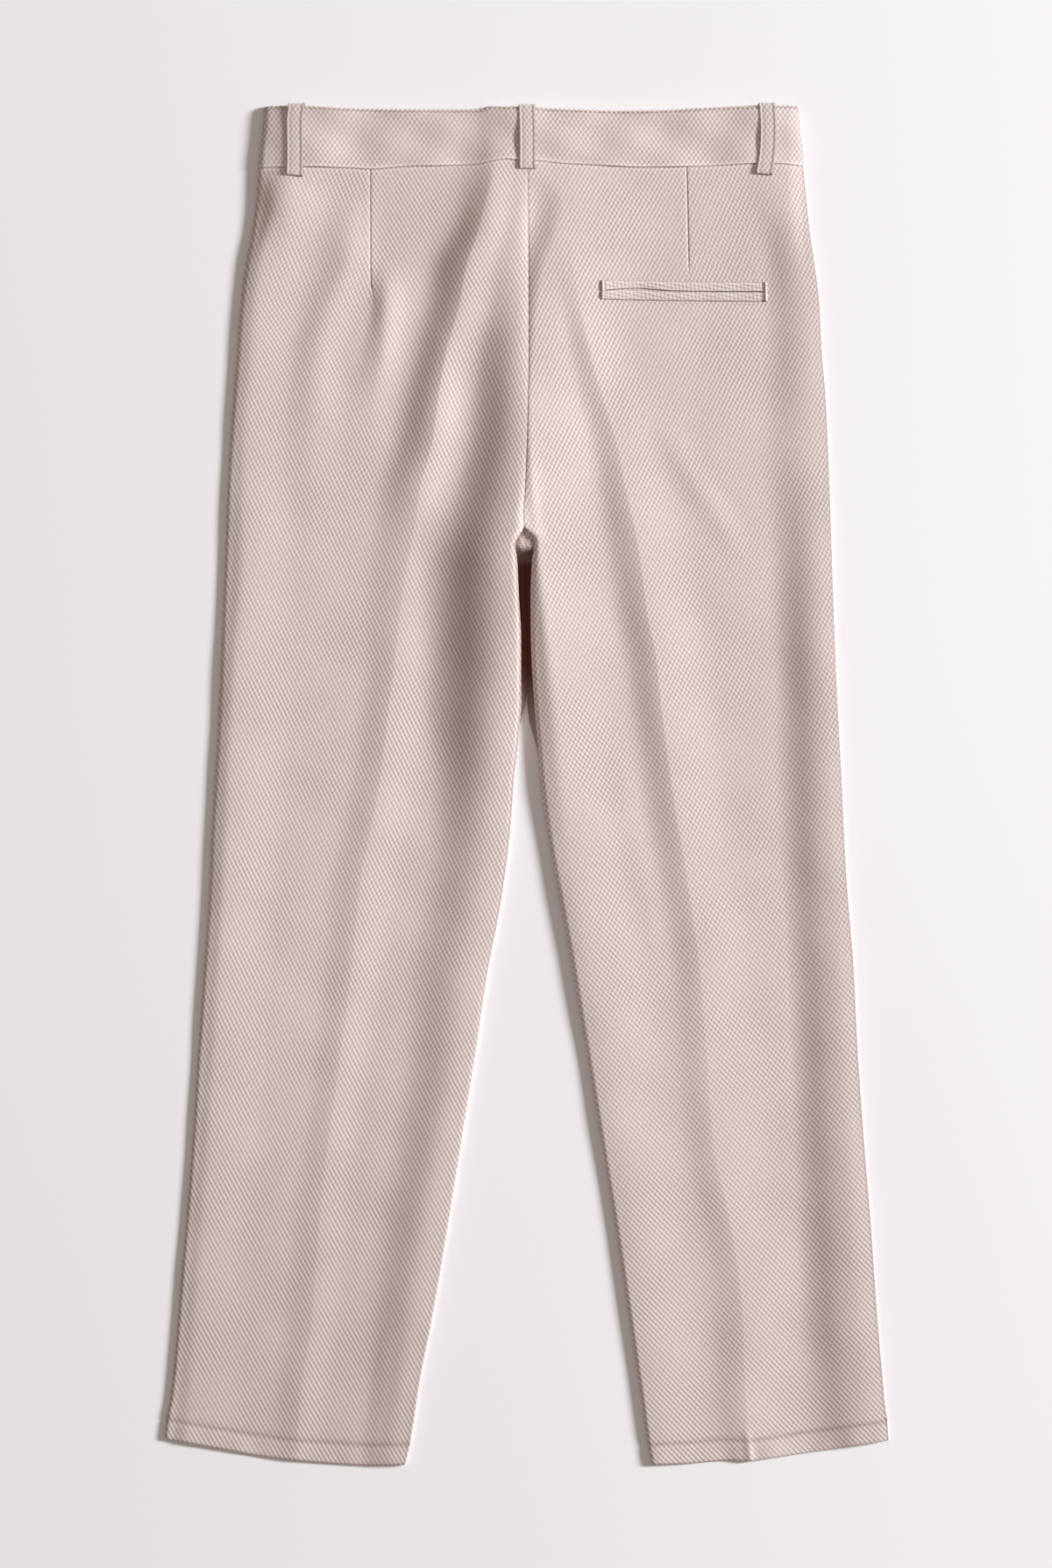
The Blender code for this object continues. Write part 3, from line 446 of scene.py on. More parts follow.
@dataclass(frozen=True)
class Leg:
    """One leg as it lies: its outline, the folds in its back and the lean of its weave."""

    side: Side
    outer: Along
    inner: Along
    hem: Along
    folds: tuple[FoldLine, ...]
    # bands of painted shade in the cloth's colour
    painted_shade_bands: tuple[FoldLine, ...]
    crease: FoldLine
    dart: Along
    lane: Along  # a column of points that follows the dart and runs on to the hem
    lean: Along  # degrees that the weave leans outwards
    slant: Along  # how much of the weave runs down to the right
    dart_lean: float  # degrees that the dart turns the weave outside it

    @property
    def sign(self) -> float:
        """-1 for the left leg and 1 for the right one, the way from the centre to its side seam."""
        return -1.0 if self.side is Side.LEFT else 1.0

    def surface(self, x: Numbers, down: Numbers) -> Numbers:
        """Height of the back's outer face before its edges are turned.

        Args:
            x: Across the garment.
            down: Down the garment.

        Returns:
            The height at each point.
        """
        near_waist = fading(down, WAIST, WAIST_FADE)
        rise = LIE(down) + WAIST_RISE(x) * near_waist + 0.17 * ripple(x, down)
        return rise + sum(fold(x, down) for fold in self.folds)

    def at_seam(self, down: Numbers) -> Numbers:
        """Height of its outer face along the centre back."""
        return self.surface(self.inner(down), down)

    def shade(self, x: Numbers, down: Numbers) -> Numbers:
        """How much shade is painted into each point's colour, from 0 to 1."""
        return sum(painted_shade(x, down) for painted_shade in self.painted_shade_bands)

    def grain(self, x: Numbers, down: Numbers) -> tuple[Numbers, Numbers]:
        """Where each point lies in the flat cloth, along its weft and its warp.

        Args:
            x: Across the garment.
            down: Down the garment.

        Returns:
            Distances in millimetres across and along the cloth.
        """
        steps = np.linspace(0, GARMENT, 203)
        slant = np.tan(np.radians(self.lean(steps)))
        drift = np.concatenate([[0], np.cumsum((slant[1:] + slant[:-1]) / 2 * np.diff(steps))])
        across = x - self.sign * np.interp(down, steps, drift)
        outside = self.sign * (x - self.dart(down)) > 0
        end = float(self.dart.at[-1])
        taken = math.tan(math.radians(self.dart_lean)) * np.maximum(0, end - down)
        across = across + np.where(outside, self.sign * taken, 0.0)
        middle = (self.outer(down) + self.inner(down)) / 2
        along = down + self.sign * np.tan(np.radians(self.lean(down))) * (x - middle)
        return across, along


LEFT_LEG = Leg(
    side=Side.LEFT,
    outer=LEFT_SIDE,
    inner=LEFT_INNER,
    hem=LEFT_HEM,
    folds=(
        LEFT_SIDE_ROLL, LEFT_HIP_FOLD, LEFT_DART_FOLD, LEFT_CREASE, LEFT_INNER_RISE, LEFT_HEM_FOLD,
    ),
    painted_shade_bands=LEFT_PAINTED_SHADE,
    crease=LEFT_CREASE,
    dart=Along([(48, -115.5), (83.5, -115.5), (131, -115), (141, -113.5), (148, -111)]),
    lane=Along([(47, -115.5), (131, -115), (150, -112), (250, -122), (400, -152), (569, -176),
                (763, -198), (1003, -221)]),
    lean=Along([(47, 4), (140, 5), (215, 10), (300, 9.5), (640, 9), (763, 7), (1003, 5)]),
    slant=Along([(47, 0.64), (300, 0.70), (600, 0.71), (800, 0.77), (1003, 0.80)]),
    dart_lean=10.0,
)  # fmt: skip
RIGHT_LEG = Leg(
    side=Side.RIGHT,
    outer=RIGHT_SIDE,
    inner=RIGHT_INNER,
    hem=RIGHT_HEM,
    folds=(
        RIGHT_SIDE_ROLL, RIGHT_INNER_RISE, RIGHT_INNER_SLOPE, RIGHT_CREASE, RIGHT_THIGH_FOLD,
        RIGHT_KNEE_FOLD, RIGHT_HEM_DENT,
    ),
    painted_shade_bands=RIGHT_PAINTED_SHADE,
    crease=RIGHT_CREASE,
    dart=Along([(47, 117.5), (86.5, 118.5), (128, 119.5)]),
    lane=Along([(47, 117.5), (86.5, 118.5), (128, 119.5), (250, 140), (400, 164), (569, 184),
                (763, 201), (1003, 220)]),
    lean=Along([(47, 5), (140, 7), (215, 9.5), (640, 10), (1003, 9)]),
    slant=Along([(47, 0.40), (200, 0.33), (320, 0.43), (450, 0.50), (650, 0.59), (820, 0.70),
                 (1003, 0.82)]),
    dart_lean=7.5,
)  # fmt: skip


# ---------------------------------------------------------------- finishes


class Amount:
    """A number that varies over a surface. Arithmetic on it adds Math nodes."""

    def __init__(self, finish: "Finish", socket: bpy.types.NodeSocket) -> None:
        """Wraps a socket.

        Args:
            finish: The finish whose nodes it belongs to.
            socket: The socket that gives the number.
        """
        self.finish = finish
        self.socket = socket

    def _math(self, operation: str, first: object, second: object = 0.0) -> "Amount":
        """Adds one Math node.

        Args:
            operation: What it works out.
            first: Its first value.
            second: Its second value, where it has one.

        Returns:
            The result.
        """
        made = self.finish.node("ShaderNodeMath", {"operation": operation}, {0: first, 1: second})
        return Amount(self.finish, made.outputs[0])

    def __add__(self, other: object) -> "Amount":
        """Sum with another amount or number."""
        return self._math("ADD", self, other)

    __radd__ = __add__

    def __sub__(self, other: object) -> "Amount":
        """Difference from another amount or number."""
        return self._math("SUBTRACT", self, other)

    def __rsub__(self, other: object) -> "Amount":
        """A number less this amount."""
        return self._math("SUBTRACT", other, self)

    def __mul__(self, other: object) -> "Amount":
        """Product with another amount or number."""
        return self._math("MULTIPLY", self, other)

    __rmul__ = __mul__

    def cosine(self) -> "Amount":
        """Its cosine."""
        return self._math("COSINE", self)

    def between(self, low: float, high: float) -> "Amount":
        """A smooth step from 0 at low to 1 at high.

        Args:
            low: Where it leaves 0.
            high: Where it reaches 1.

        Returns:
            The stepped amount.
        """
        settings = {"interpolation_type": "SMOOTHSTEP"}
        made = self.finish.node("ShaderNodeMapRange", settings, {"Value": self, 1: low, 2: high})
        return Amount(self.finish, made.outputs[0])


class Finish:
    """A surface finish: a Principled material and the nodes behind it."""

    def __init__(self, name: str) -> None:
        """Makes an empty finish.

        Args:
            name: The material's name.
        """
        self.material = bpy.data.materials.new(name)
        self.material.use_nodes = True
        self.tree = self.material.node_tree
        self.shader = self.tree.nodes["Principled BSDF"]

    def node(
        self,
        kind: str,
        settings: dict[str, object] | None = None,
        inputs: dict[int | str, object] | None = None,
    ) -> bpy.types.Node:
        """Adds one node: its settings first, then the values or links of its sockets.

        Args:
            kind: The node's type.
            settings: Properties of the node.
            inputs: Values, amounts or sockets by the name or number of the input.

        Returns:
            The new node.
        """
        made = self.tree.nodes.new(kind)
        for name, value in (settings or {}).items():
            setattr(made, name, value)
        for name, value in (inputs or {}).items():
            self.connect(made.inputs[name], value)
        return made

    def connect(self, target: bpy.types.NodeSocket, value: object) -> None:
        """Sets a socket to a value, or links it.

        Args:
            target: The input.
            value: A number, a colour, an amount or another node's output.
        """
        if isinstance(value, Amount):
            value = value.socket
        if isinstance(value, bpy.types.NodeSocket):
            self.tree.links.new(value, target)
        else:
            target.default_value = value

    def amount(self, socket: bpy.types.NodeSocket) -> Amount:
        """Wraps a socket as an amount."""
        return Amount(self, socket)

    def mix(self, factor: object, first: object, second: object, blend: str = "MIX") -> object:
        """Mixes two colours.

        Args:
            factor: How much of the second.
            first: The first colour.
            second: The second colour.
            blend: How they are mixed.

        Returns:
            The mixed colour's socket.
        """
        settings = {"data_type": "RGBA", "blend_type": blend}
        made = self.node("ShaderNodeMix", settings, {"Factor": factor, 6: first, 7: second})
        return made.outputs[2]

    def noise(self, place: object, scale: float, detail: float = 2.0) -> Amount:
        """A noise amount about 0.5.

        Args:
            place: The coordinates.
            scale: Features to each unit of them.
            detail: How many finer layers it has.

        Returns:
            The noise.
        """
        inputs = {"Vector": place, "Scale": scale, "Detail": detail}
        return self.amount(self.node("ShaderNodeTexNoise", {}, inputs).outputs["Fac"])

    def flat_place(self) -> object:
        """A sheet's own coordinates in the flat cloth, in millimetres.

        Returns:
            The vector's socket.
        """
        flat = self.node("ShaderNodeUVMap", {"uv_map": "cloth"}).outputs[0]
        settings = {"operation": "SCALE"}
        return self.node("ShaderNodeVectorMath", settings, {0: flat, "Scale": 1 / MM}).outputs[0]

    def place(self) -> object:
        """The part's own coordinates, in metres."""
        return self.node("ShaderNodeTexCoord").outputs["Object"]

    def parts(self, place: object) -> tuple[Amount, Amount]:
        """The first two parts of a place."""
        outputs = self.node("ShaderNodeSeparateXYZ", {}, {0: place}).outputs
        return self.amount(outputs[0]), self.amount(outputs[1])

    def attribute(self, name: str) -> Amount:
        """An amount kept at each vertex of a piece."""
        made = self.node("ShaderNodeAttribute", {"attribute_name": name})
        return self.amount(made.outputs["Fac"])

    def bump(self, height: Amount, depth: float) -> None:
        """Raises the surface by a height.

        Args:
            height: The amount that raises it.
            depth: Millimetres for each unit of it.
        """
        raised = self.node("ShaderNodeBump", {}, {"Height": height, "Distance": depth * MM})
        self.connect(self.shader.inputs["Normal"], raised.outputs[0])

    def done(self, colour: object, roughness: object, **others: float) -> bpy.types.Material:
        """Gives the shader its colour, its roughness and its other values.

        Args:
            colour: Its base colour.
            roughness: Its roughness.
            others: Values of other inputs, with _ for each space in their names.

        Returns:
            The finished material.
        """
        values = {name.replace("_", " "): value for name, value in others.items()}
        for name, value in {"Base Color": colour, "Roughness": roughness, **values}.items():
            self.connect(self.shader.inputs[name], value)
        return self.material


Colour = tuple[float, float, float, float]


@dataclass(frozen=True)
class Suiting:
    """The trousers' wool cloth: staggered rosy-brown eyes in a pale raised lattice."""

    name: str = "suiting"
    lattice: Colour = (0.828, 0.731, 0.702, 1)
    lattice_dull: Colour = (0.738, 0.632, 0.600, 1)
    eye: Colour = (0.412, 0.317, 0.293, 1)
    # painted shade: the dark tint that the cloth's colour is multiplied towards
    shade_tint: Colour = (0.11, 0.033, 0.022, 1)
    # painted highlight and wear: the pale colour that lit edges, lips and rubbed edges are mixed towards
    highlight_and_wear: Colour = (0.87, 0.785, 0.765, 1)
    faded: Colour = (0.50, 0.41, 0.36, 1)
    rosy: Colour = (0.70, 0.54, 0.55, 1)
    pitch: float = 3.45  # between two columns of eyes that stand level
    repeat: float = 4.85  # between two rows of eyes that stand level
    relief: float = 0.05
    roughness: float = 0.86
    specular: float = 0.25
    sheen: float = 0.12
    sheen_roughness: float = 0.4

    def make(self) -> bpy.types.Material:
        """Builds the material.

        Returns:
            The material.
        """
        finish = Finish(self.name)
        place = finish.flat_place()
        across, along = finish.parts(place)
        wander = finish.noise(place, 0.22, 2.0) - 0.5
        across = (across + wander * 0.9) * (math.tau / self.pitch)
        along = (along + wander * 0.8) * (math.tau / self.repeat)
        slant = finish.attribute("slant") + (finish.noise(place, 0.03, 1.0) - 0.5) * 0.2
        wave = (across - along).cosine() * slant + (across + along).cosine() * (1 - slant)
        fibre = finish.noise(place, 2.3, 3.0) - 0.5
        eyes = (wave + 0.45 * fibre).between(-1.0, 1.02)
        tone = finish.noise(place, 0.42, 2.0).between(0.25, 0.8)
        pale = finish.mix(0.5 * tone, self.lattice, self.lattice_dull)
        # Painted shade kept at each vertex darkens the cloth's colour and, where darkest, hides its
        # weave.
        painted_shade = finish.attribute("painted_shade")
        weave_lost_in_shade = painted_shade * painted_shade * painted_shade * painted_shade
        fade = finish.noise(place, 0.018, 1.0).between(0.3, 0.7)
        shown = 0.94 + 0.12 * tone - 0.2 * fade
        cloth = finish.mix(eyes * shown * (1 - weave_lost_in_shade), pale, self.eye)
        # Painted highlight and wear, kept at each vertex, pale the cloth's colour.
        cloth = finish.mix(finish.attribute("highlight_and_wear"), cloth, self.highlight_and_wear)
        cloth = finish.mix(0.08 * fade, cloth, self.faded)
        blush = finish.noise(place, 0.034, 2.0).between(0.35, 0.7)
        cloth = finish.mix(0.10 * blush, cloth, self.rosy)
        cloth = finish.mix(painted_shade, cloth, self.shade_tint, "MULTIPLY")
        finish.bump(0.8 * fibre - eyes, self.relief)
        return finish.done(
            cloth,
            self.roughness,
            Specular_IOR_Level=self.specular,
            Sheen_Weight=self.sheen,
            Sheen_Roughness=self.sheen_roughness,
        )


@dataclass(frozen=True)
class Thread:
    """Sewing thread: a plain colour, a little uneven along its length."""

    name: str
    colour: Colour
    shade: Colour

    def make(self) -> bpy.types.Material:
        """Builds the material.

        Returns:
            The material.
        """
        finish = Finish(self.name)
        twist = finish.noise(finish.place(), 900.0, 2.0)
        finish.bump(twist, 0.12)
        return finish.done(finish.mix(twist.between(0.3, 0.7), self.colour, self.shade), 0.7)


@dataclass(frozen=True)
class Tape:
    """The zip's woven tape."""

    name: str = "zip_tape_cloth"
    colour: Colour = (0.52, 0.43, 0.40, 1)
    shade: Colour = (0.40, 0.32, 0.29, 1)
    rib: float = 0.9
    pick: float = 0.7

    def make(self) -> bpy.types.Material:
        """Builds the material.

        Returns:
            The material.
        """
        finish = Finish(self.name)
        x, y = finish.parts(finish.place())
        ribs = (x * (math.tau / (self.rib * MM))).cosine()
        weave = ribs * (y * (math.tau / (self.pick * MM))).cosine()
        finish.bump(weave, 0.05)
        return finish.done(finish.mix(weave.between(-0.6, 0.6), self.colour, self.shade), 0.75)


@dataclass(frozen=True)
class Steel:
    """Plated steel of the zip's slider and of the hook and bar."""

    name: str = "plated_steel"
    colour: Colour = (0.60, 0.60, 0.61, 1)
    dull: Colour = (0.42, 0.42, 0.43, 1)

    def make(self) -> bpy.types.Material:
        """Builds the material.

        Returns:
            The material.
        """
        finish = Finish(self.name)
        wear = finish.noise(finish.place(), 240.0, 4.0)
        finish.bump(wear, 0.02)
        colour = finish.mix(wear.between(0.35, 0.75), self.colour, self.dull)
        return finish.done(colour, 0.24 + 0.22 * wear, Metallic=1.0)


@dataclass(frozen=True)
class Board:
    """The plain pale surface that the trousers lie on."""

    name: str = "pale_board"
    colour: Colour = (0.850, 0.835, 0.850, 1)
    shade: Colour = (0.850 * 0.985, 0.835 * 0.98, 0.850 * 0.98, 1)

    def make(self) -> bpy.types.Material:
        """Builds the material.

        Returns:
            The material.
        """
        finish = Finish(self.name)
        clouds = finish.noise(finish.place(), 1.1, 1.0).between(0.3, 0.7)
        colour = finish.mix(clouds, self.colour, self.shade)
        return finish.done(colour, 0.9, Specular_IOR_Level=0.1)


# ---------------------------------------------------------------- making a sheet of cloth


class Laid(NamedTuple):
    """Points of a sheet: where each lies and lay in the flat cloth, its painted shade, its painted
    highlight and wear, and its weave's slant.
    """

    x: Numbers
    down: Numbers
    height: Numbers
    across: Numbers
    along: Numbers
    painted_shade: Numbers
    highlight_and_wear: Numbers
    slant: Numbers | float = 0.48


class Relief:
    """The height, the painted shade and the painted highlight and wear of a sheet's points while its
    details are worked into it.
    """

    def __init__(self, height: Numbers) -> None:
        """Starts from a height, with no painted shade, highlight or wear."""
        self.height = height
        self.painted_shade = 0 * height
        self.highlight_and_wear = 0 * height

    def turned(self, distance: Numbers, radius: Numbers | float) -> Numbers:
        """The height with an edge rounded down to the seam within a radius of it."""
        return SEAM_HEIGHT + (self.height - SEAM_HEIGHT) * rounded(distance / radius)

    def turn(self, distance: Numbers, radius: Numbers | float) -> None:
        """Rounds an edge down to the seam within a radius of it."""
        self.height = self.turned(distance, radius)

    def sink(self, depth: Numbers | float, distance: Numbers, width: Numbers | float) -> None:
        """Sinks the cloth at a line; the groove runs out at a width beside it."""
        self.height = self.height - depth * (1 - rounded(distance / width))

    def darken(self, amount: Numbers | float, distance: Numbers, width: float) -> None:
        """Paints shade into the cloth's colour at a line; the painted shade runs out at a width beside
        it.
        """
        self.painted_shade = self.painted_shade + amount * (1 - eased(distance / width))

    def wear(self, amount: Numbers) -> None:
        """Makes the cloth's painted highlight and wear at least this much."""
        self.highlight_and_wear = np.maximum(self.highlight_and_wear, amount)

    def laid(self, x: Numbers, down: Numbers, across: Numbers, along: Numbers) -> Laid:
        """The points with this relief, their weave's two slants about even."""
        return Laid(x, down, self.height, across, along, self.painted_shade, self.highlight_and_wear)


def to_frame(x: Numbers, down: Numbers, height: Numbers) -> Numbers:
    """The points in the part's frame, in metres."""
    return np.stack([x - CENTRE_X, CENTRE_DOWN - down, height + 0 * x], axis=-1) * MM


def crowded(count: int, power: float) -> Numbers:
    """Places from 0 to 1 that lie closer together towards both ends.

    Args:
        count: How many steps.
        power: How much closer; 1 is even.

    Returns:
        The places.
    """
    q = np.linspace(0, 1, count + 1)
    return q**power / (q**power + (1 - q) ** power)


def close_rows(length: float, step: float, ends: Sequence[float]) -> Numbers:
    """Row places along a length: close together at both ends and even between.

    Args:
        length: The whole length.
        step: Distance between the rows in the middle.
        ends: Distances of the close rows from each end.

    Returns:
        The places.
    """
    count = round((length - 2 * ends[-1]) / step)
    middle = np.linspace(ends[-1], length - ends[-1], count + 1)[1:-1]
    return np.concatenate([ends, middle, length - np.array(ends[::-1])])


def as_mesh(name: str, form: bmesh.types.BMesh, finish: bpy.types.Material) -> bpy.types.Mesh:
    """Turns a form into a mesh.

    Args:
        name: The mesh's name.
        form: The form, which is used up.
        finish: Its material.

    Returns:
        The mesh.
    """
    mesh = bpy.data.meshes.new(name)
    form.to_mesh(mesh)
    form.free()
    mesh.materials.append(finish)
    return mesh


def link(name: str, data: bpy.types.ID) -> bpy.types.Object:
    """Makes an object of a mesh, a light or a camera.

    Args:
        name: Its name.
        data: What it shows.

    Returns:
        The object, in the scene.
    """
    made = bpy.data.objects.new(name, data)
    bpy.context.scene.collection.objects.link(made)
    return made


class Facing(Enum):
    """Which way a sheet's outer side faces."""

    UP = 1
    DOWN = -1


class Sheet:
    """A sheet of cloth that takes the place of one of the part's solids."""

    wall = CLOTH
    facing = Facing.UP

    def names(self) -> tuple[str, str]:
        """Its name and the name of the node that it replaces."""
        raise NotImplementedError

    def steps(self) -> tuple[int, int]:
        """How many steps it has across and along."""
        raise NotImplementedError

    def place(self, column: Numbers, row: Numbers) -> Laid:
        """Lays its points, given by their column and row numbers."""
        raise NotImplementedError

    def build(self, cloth: bpy.types.Material) -> bpy.types.Object:
        """Makes the sheet from an even grid whose points are laid where they belong.

        Args:
            cloth: The suiting.

        Returns:
            The piece.
        """
        name, node = self.names()
        columns, rows = self.steps()
        form = bmesh.new()
        bmesh.ops.create_grid(form, x_segments=columns, y_segments=rows, size=0.5)
        if self.facing is Facing.DOWN:
            bmesh.ops.reverse_faces(form, faces=form.faces[:])
        mesh = as_mesh(name, form, cloth)
        flat = np.zeros(len(mesh.vertices) * 3)
        mesh.vertices.foreach_get("co", flat)
        flat = flat.reshape(-1, 3)
        column = np.rint((flat[:, 0] + 0.5) * columns).astype(int)
        row = np.rint((0.5 - flat[:, 1]) * rows).astype(int)
        laid = self.place(column, row)
        points = to_frame(laid.x, laid.down, laid.height)
        mesh.vertices.foreach_set("co", points.ravel())
        for kept in ("painted_shade", "highlight_and_wear", "slant"):
            values = np.clip(getattr(laid, kept) + np.zeros(len(points)), 0, 1).astype(np.float32)
            mesh.attributes.new(kept, "FLOAT", "POINT").data.foreach_set("value", values)
        corner = np.zeros(len(mesh.loops), int)
        mesh.loops.foreach_get("vertex_index", corner)
        place = np.stack([laid.across, laid.along], axis=-1)[corner] * MM
        mesh.uv_layers.new(name="cloth").data.foreach_set("uv", place.ravel())
        mesh.shade_smooth()
        piece = link(name, mesh)
        wall = piece.modifiers.new("wall", "SOLIDIFY")
        wall.thickness = self.wall * MM
        wall.offset = -1
        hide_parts(node)
        return piece


# ---------------------------------------------------------------- the legs


@dataclass(frozen=True)
class Turning:
    """How one back panel's edges are turned, in millimetres and in shares of full painted shade."""

    side_roll: float  # radius of the side seam
    rim: float  # shade along the side seam
    low_shade: float  # more shade down the lower leg
    reach: float  # how far from the centre back it comes level with the other back
    spread: float  # how much the inseam's roll widens with each millimetre of height
    groove: float  # depth of the centre-back seam
    fall: float  # width of the centre-back seam


TURNINGS = {
    Side.LEFT: Turning(
        side_roll=3.0, rim=0.12, low_shade=0.12, reach=6.0, spread=0.12, groove=0.10, fall=1.0
    ),
    Side.RIGHT: Turning(
        side_roll=1.2, rim=0.74, low_shade=0.05, reach=15.0, spread=0.28, groove=0.20, fall=1.2
    ),
}
EDGE_ROWS = (0.0, 0.25, 0.6, 1.0, 1.5, 2.1, 2.9, 4.0, 5.4, 7.2, 9.6, 12.4)


@dataclass
class BackPanel(Sheet):
    """The back of one leg, from the waist seam to the hem."""

    leg: Leg
    step: float = 3.2
    length: float = 956.0
    columns: tuple[int, int, int] = (30, 22, 30)
    crowding: float = 1.7
    dart_fade: float = 14.0  # how far above its point the dart begins to run out
    dart_depth: float = 0.26
    # painted shade in the dart's groove
    dart_shade: float = 0.42

    def __post_init__(self) -> None:
        """Works out its rows and how its edges are turned."""
        self.rows = close_rows(self.length, self.step, EDGE_ROWS)
        self.turning = TURNINGS[self.leg.side]

    def names(self) -> tuple[str, str]:
        """Its name and its node's."""
        return f"back_panel_{self.leg.side.value}", f"back_{self.leg.side.value}"

    def steps(self) -> tuple[int, int]:
        """How many steps it has across and along."""
        return sum(self.columns), len(self.rows) - 1

    def column_place(self, column: Numbers, down: Numbers) -> Numbers:
        """How far across each column lies, between the lines that the columns follow.

        Args:
            column: Column numbers.
            down: Down the garment.

        Returns:
            x at each point.
        """
        leg = self.leg
        way = 1 if leg.side is Side.LEFT else -1
        guides = [line(down) for line in (leg.outer, leg.lane, leg.crease.x, leg.inner)][::way]
        x = np.zeros(len(down))
        start = 0
        for first, last, count in zip(guides, guides[1:], self.columns[::way]):
            inside = (column >= start) & (column <= start + count)
            share = crowded(count, self.crowding)[np.clip(column - start, 0, count)]
            x = np.where(inside, first + (last - first) * share, x)
            start += count
        return x

    def join(self, relief: Relief, from_inner: Numbers, down: Numbers) -> None:
        """Sews the centre back and rolls the inseam below the fork.

        Args:
            relief: The panel's relief.
            from_inner: Distance from its inner edge.
            down: Down the garment.
        """
        turning = self.turning
        open_leg = eased((down - BACK_FORK + 3) / 16)
        meet = 0.7 * LEFT_LEG.at_seam(down) + 0.3 * RIGHT_LEG.at_seam(down)
        near = (1 - from_inner / turning.reach).clip(0, 1) ** 2
        step = meet - self.leg.at_seam(down)
        relief.height = relief.height + step * near * (1 - open_leg)
        width = 1.0 + turning.spread * np.maximum(0, relief.height)
        rolled = relief.turned(from_inner, width)
        relief.sink(turning.groove, from_inner, turning.fall)
        relief.height = relief.height + (rolled - relief.height) * open_leg
        # Painted shade: a dark line on the right back beside the centre-back seam.
        if self.leg.side is Side.RIGHT:
            relief.darken(0.30 * (1 - open_leg), from_inner, 1.0)
            return
        # Painted highlight: a pale lip on the left back beside the seam; painted shade along the rolled
        # inseam below the fork and beside the seam above it.
        lip = bead(from_inner, 1.3, 0.8) * (1 - open_leg)
        relief.height = relief.height + 0.05 * lip
        relief.wear(0.2 * lip)
        rim = 0.66 - 0.18 * eased((down - 560) / 200)
        relief.darken(rim * eased(from_inner / 0.3) * open_leg, from_inner - 1.4, 1.2)
        relief.darken(0.38 * (1 - open_leg), from_inner - 0.3, 0.8)

    def sew_dart(self, relief: Relief, aside: Numbers, down: Numbers) -> None:
        """Sews the dart.

        Args:
            relief: The panel's relief.
            aside: Distance from the dart, less than 0 on its left.
            down: Down the garment.
        """
        end = float(self.leg.dart.at[-1])
        dart = 1 - eased((down - end + self.dart_fade) / self.dart_fade)
        relief.sink(self.dart_depth * dart, np.abs(aside), np.where(aside < 0, 0.7, 1.0))
        # Painted highlight on the dart's left side and painted shade along its groove.
        relief.wear(0.25 * dart * bead(aside, -1.2, 0.7))
        relief.darken(self.dart_shade * dart, np.abs(aside - 0.1), 0.7)

    def turn_ends(self, relief: Relief, x: Numbers, down: Numbers) -> None:
        """Turns up the hem and sews the waist seam.

        Args:
            relief: The panel's relief.
            x: Across the garment.
            down: Down the garment.
        """
        from_hem, from_waist = self.leg.hem(x) - down, down - WAIST_SEAM(x)
        stitched = bead(from_hem, HEM_ROW, 1.5)
        loose = eased((HEM_ROW - from_hem) / 6)
        relief.height = relief.height - 0.3 * stitched + 0.22 * loose * ripple(x * 2.6, down)
        # Painted shade in the hem's stitched groove.
        relief.painted_shade = relief.painted_shade + 0.22 * stitched
        relief.turn(from_hem, 2.8)
        # Painted highlight along the hem's turned edge.
        relief.wear(0.2 * bead(from_hem, 1.4, 0.8))
        relief.sink(0.22, from_waist, 1.4)
        # Painted shade along the waist seam, and a painted highlight on the panel's lip below it.
        relief.darken(0.3, from_waist, 0.9)
        relief.wear(0.3 * bead(from_waist, 1.6, 0.6))

    def place(self, column: Numbers, row: Numbers) -> Laid:
        """Lays the panel's points.

        Args:
            column: Column numbers.
            row: Row numbers.

        Returns:
            The laid points.
        """
        leg, turning = self.leg, self.turning
        share = self.rows[row] / self.length
        down = WAIST + share * self.length
        for _ in range(SETTLING):
            x = self.column_place(column, down)
            top, bottom = WAIST_SEAM(x), leg.hem(x)
            down = top + share * (bottom - top)
        relief = Relief(leg.surface(x, down))
        # Painted shade: the leg's shade bands, more of it down the lower leg, and a dark rim along the
        # side seam.
        relief.painted_shade = leg.shade(x, down) + turning.low_shade * eased((down - 620) / 340)
        from_side = np.abs(x - leg.outer(down))
        relief.turn(from_side, turning.side_roll)
        relief.darken(turning.rim, from_side - 0.9, 1.3)
        self.join(relief, np.abs(x - leg.inner(down)), down)
        self.sew_dart(relief, x - leg.lane(down), down)
        self.turn_ends(relief, x, down)
        return relief.laid(x, down, *leg.grain(x, down))._replace(slant=leg.slant(down))


GAP_END = {Side.LEFT: 424.0, Side.RIGHT: 442.0}  # where the fronts draw back under the legs


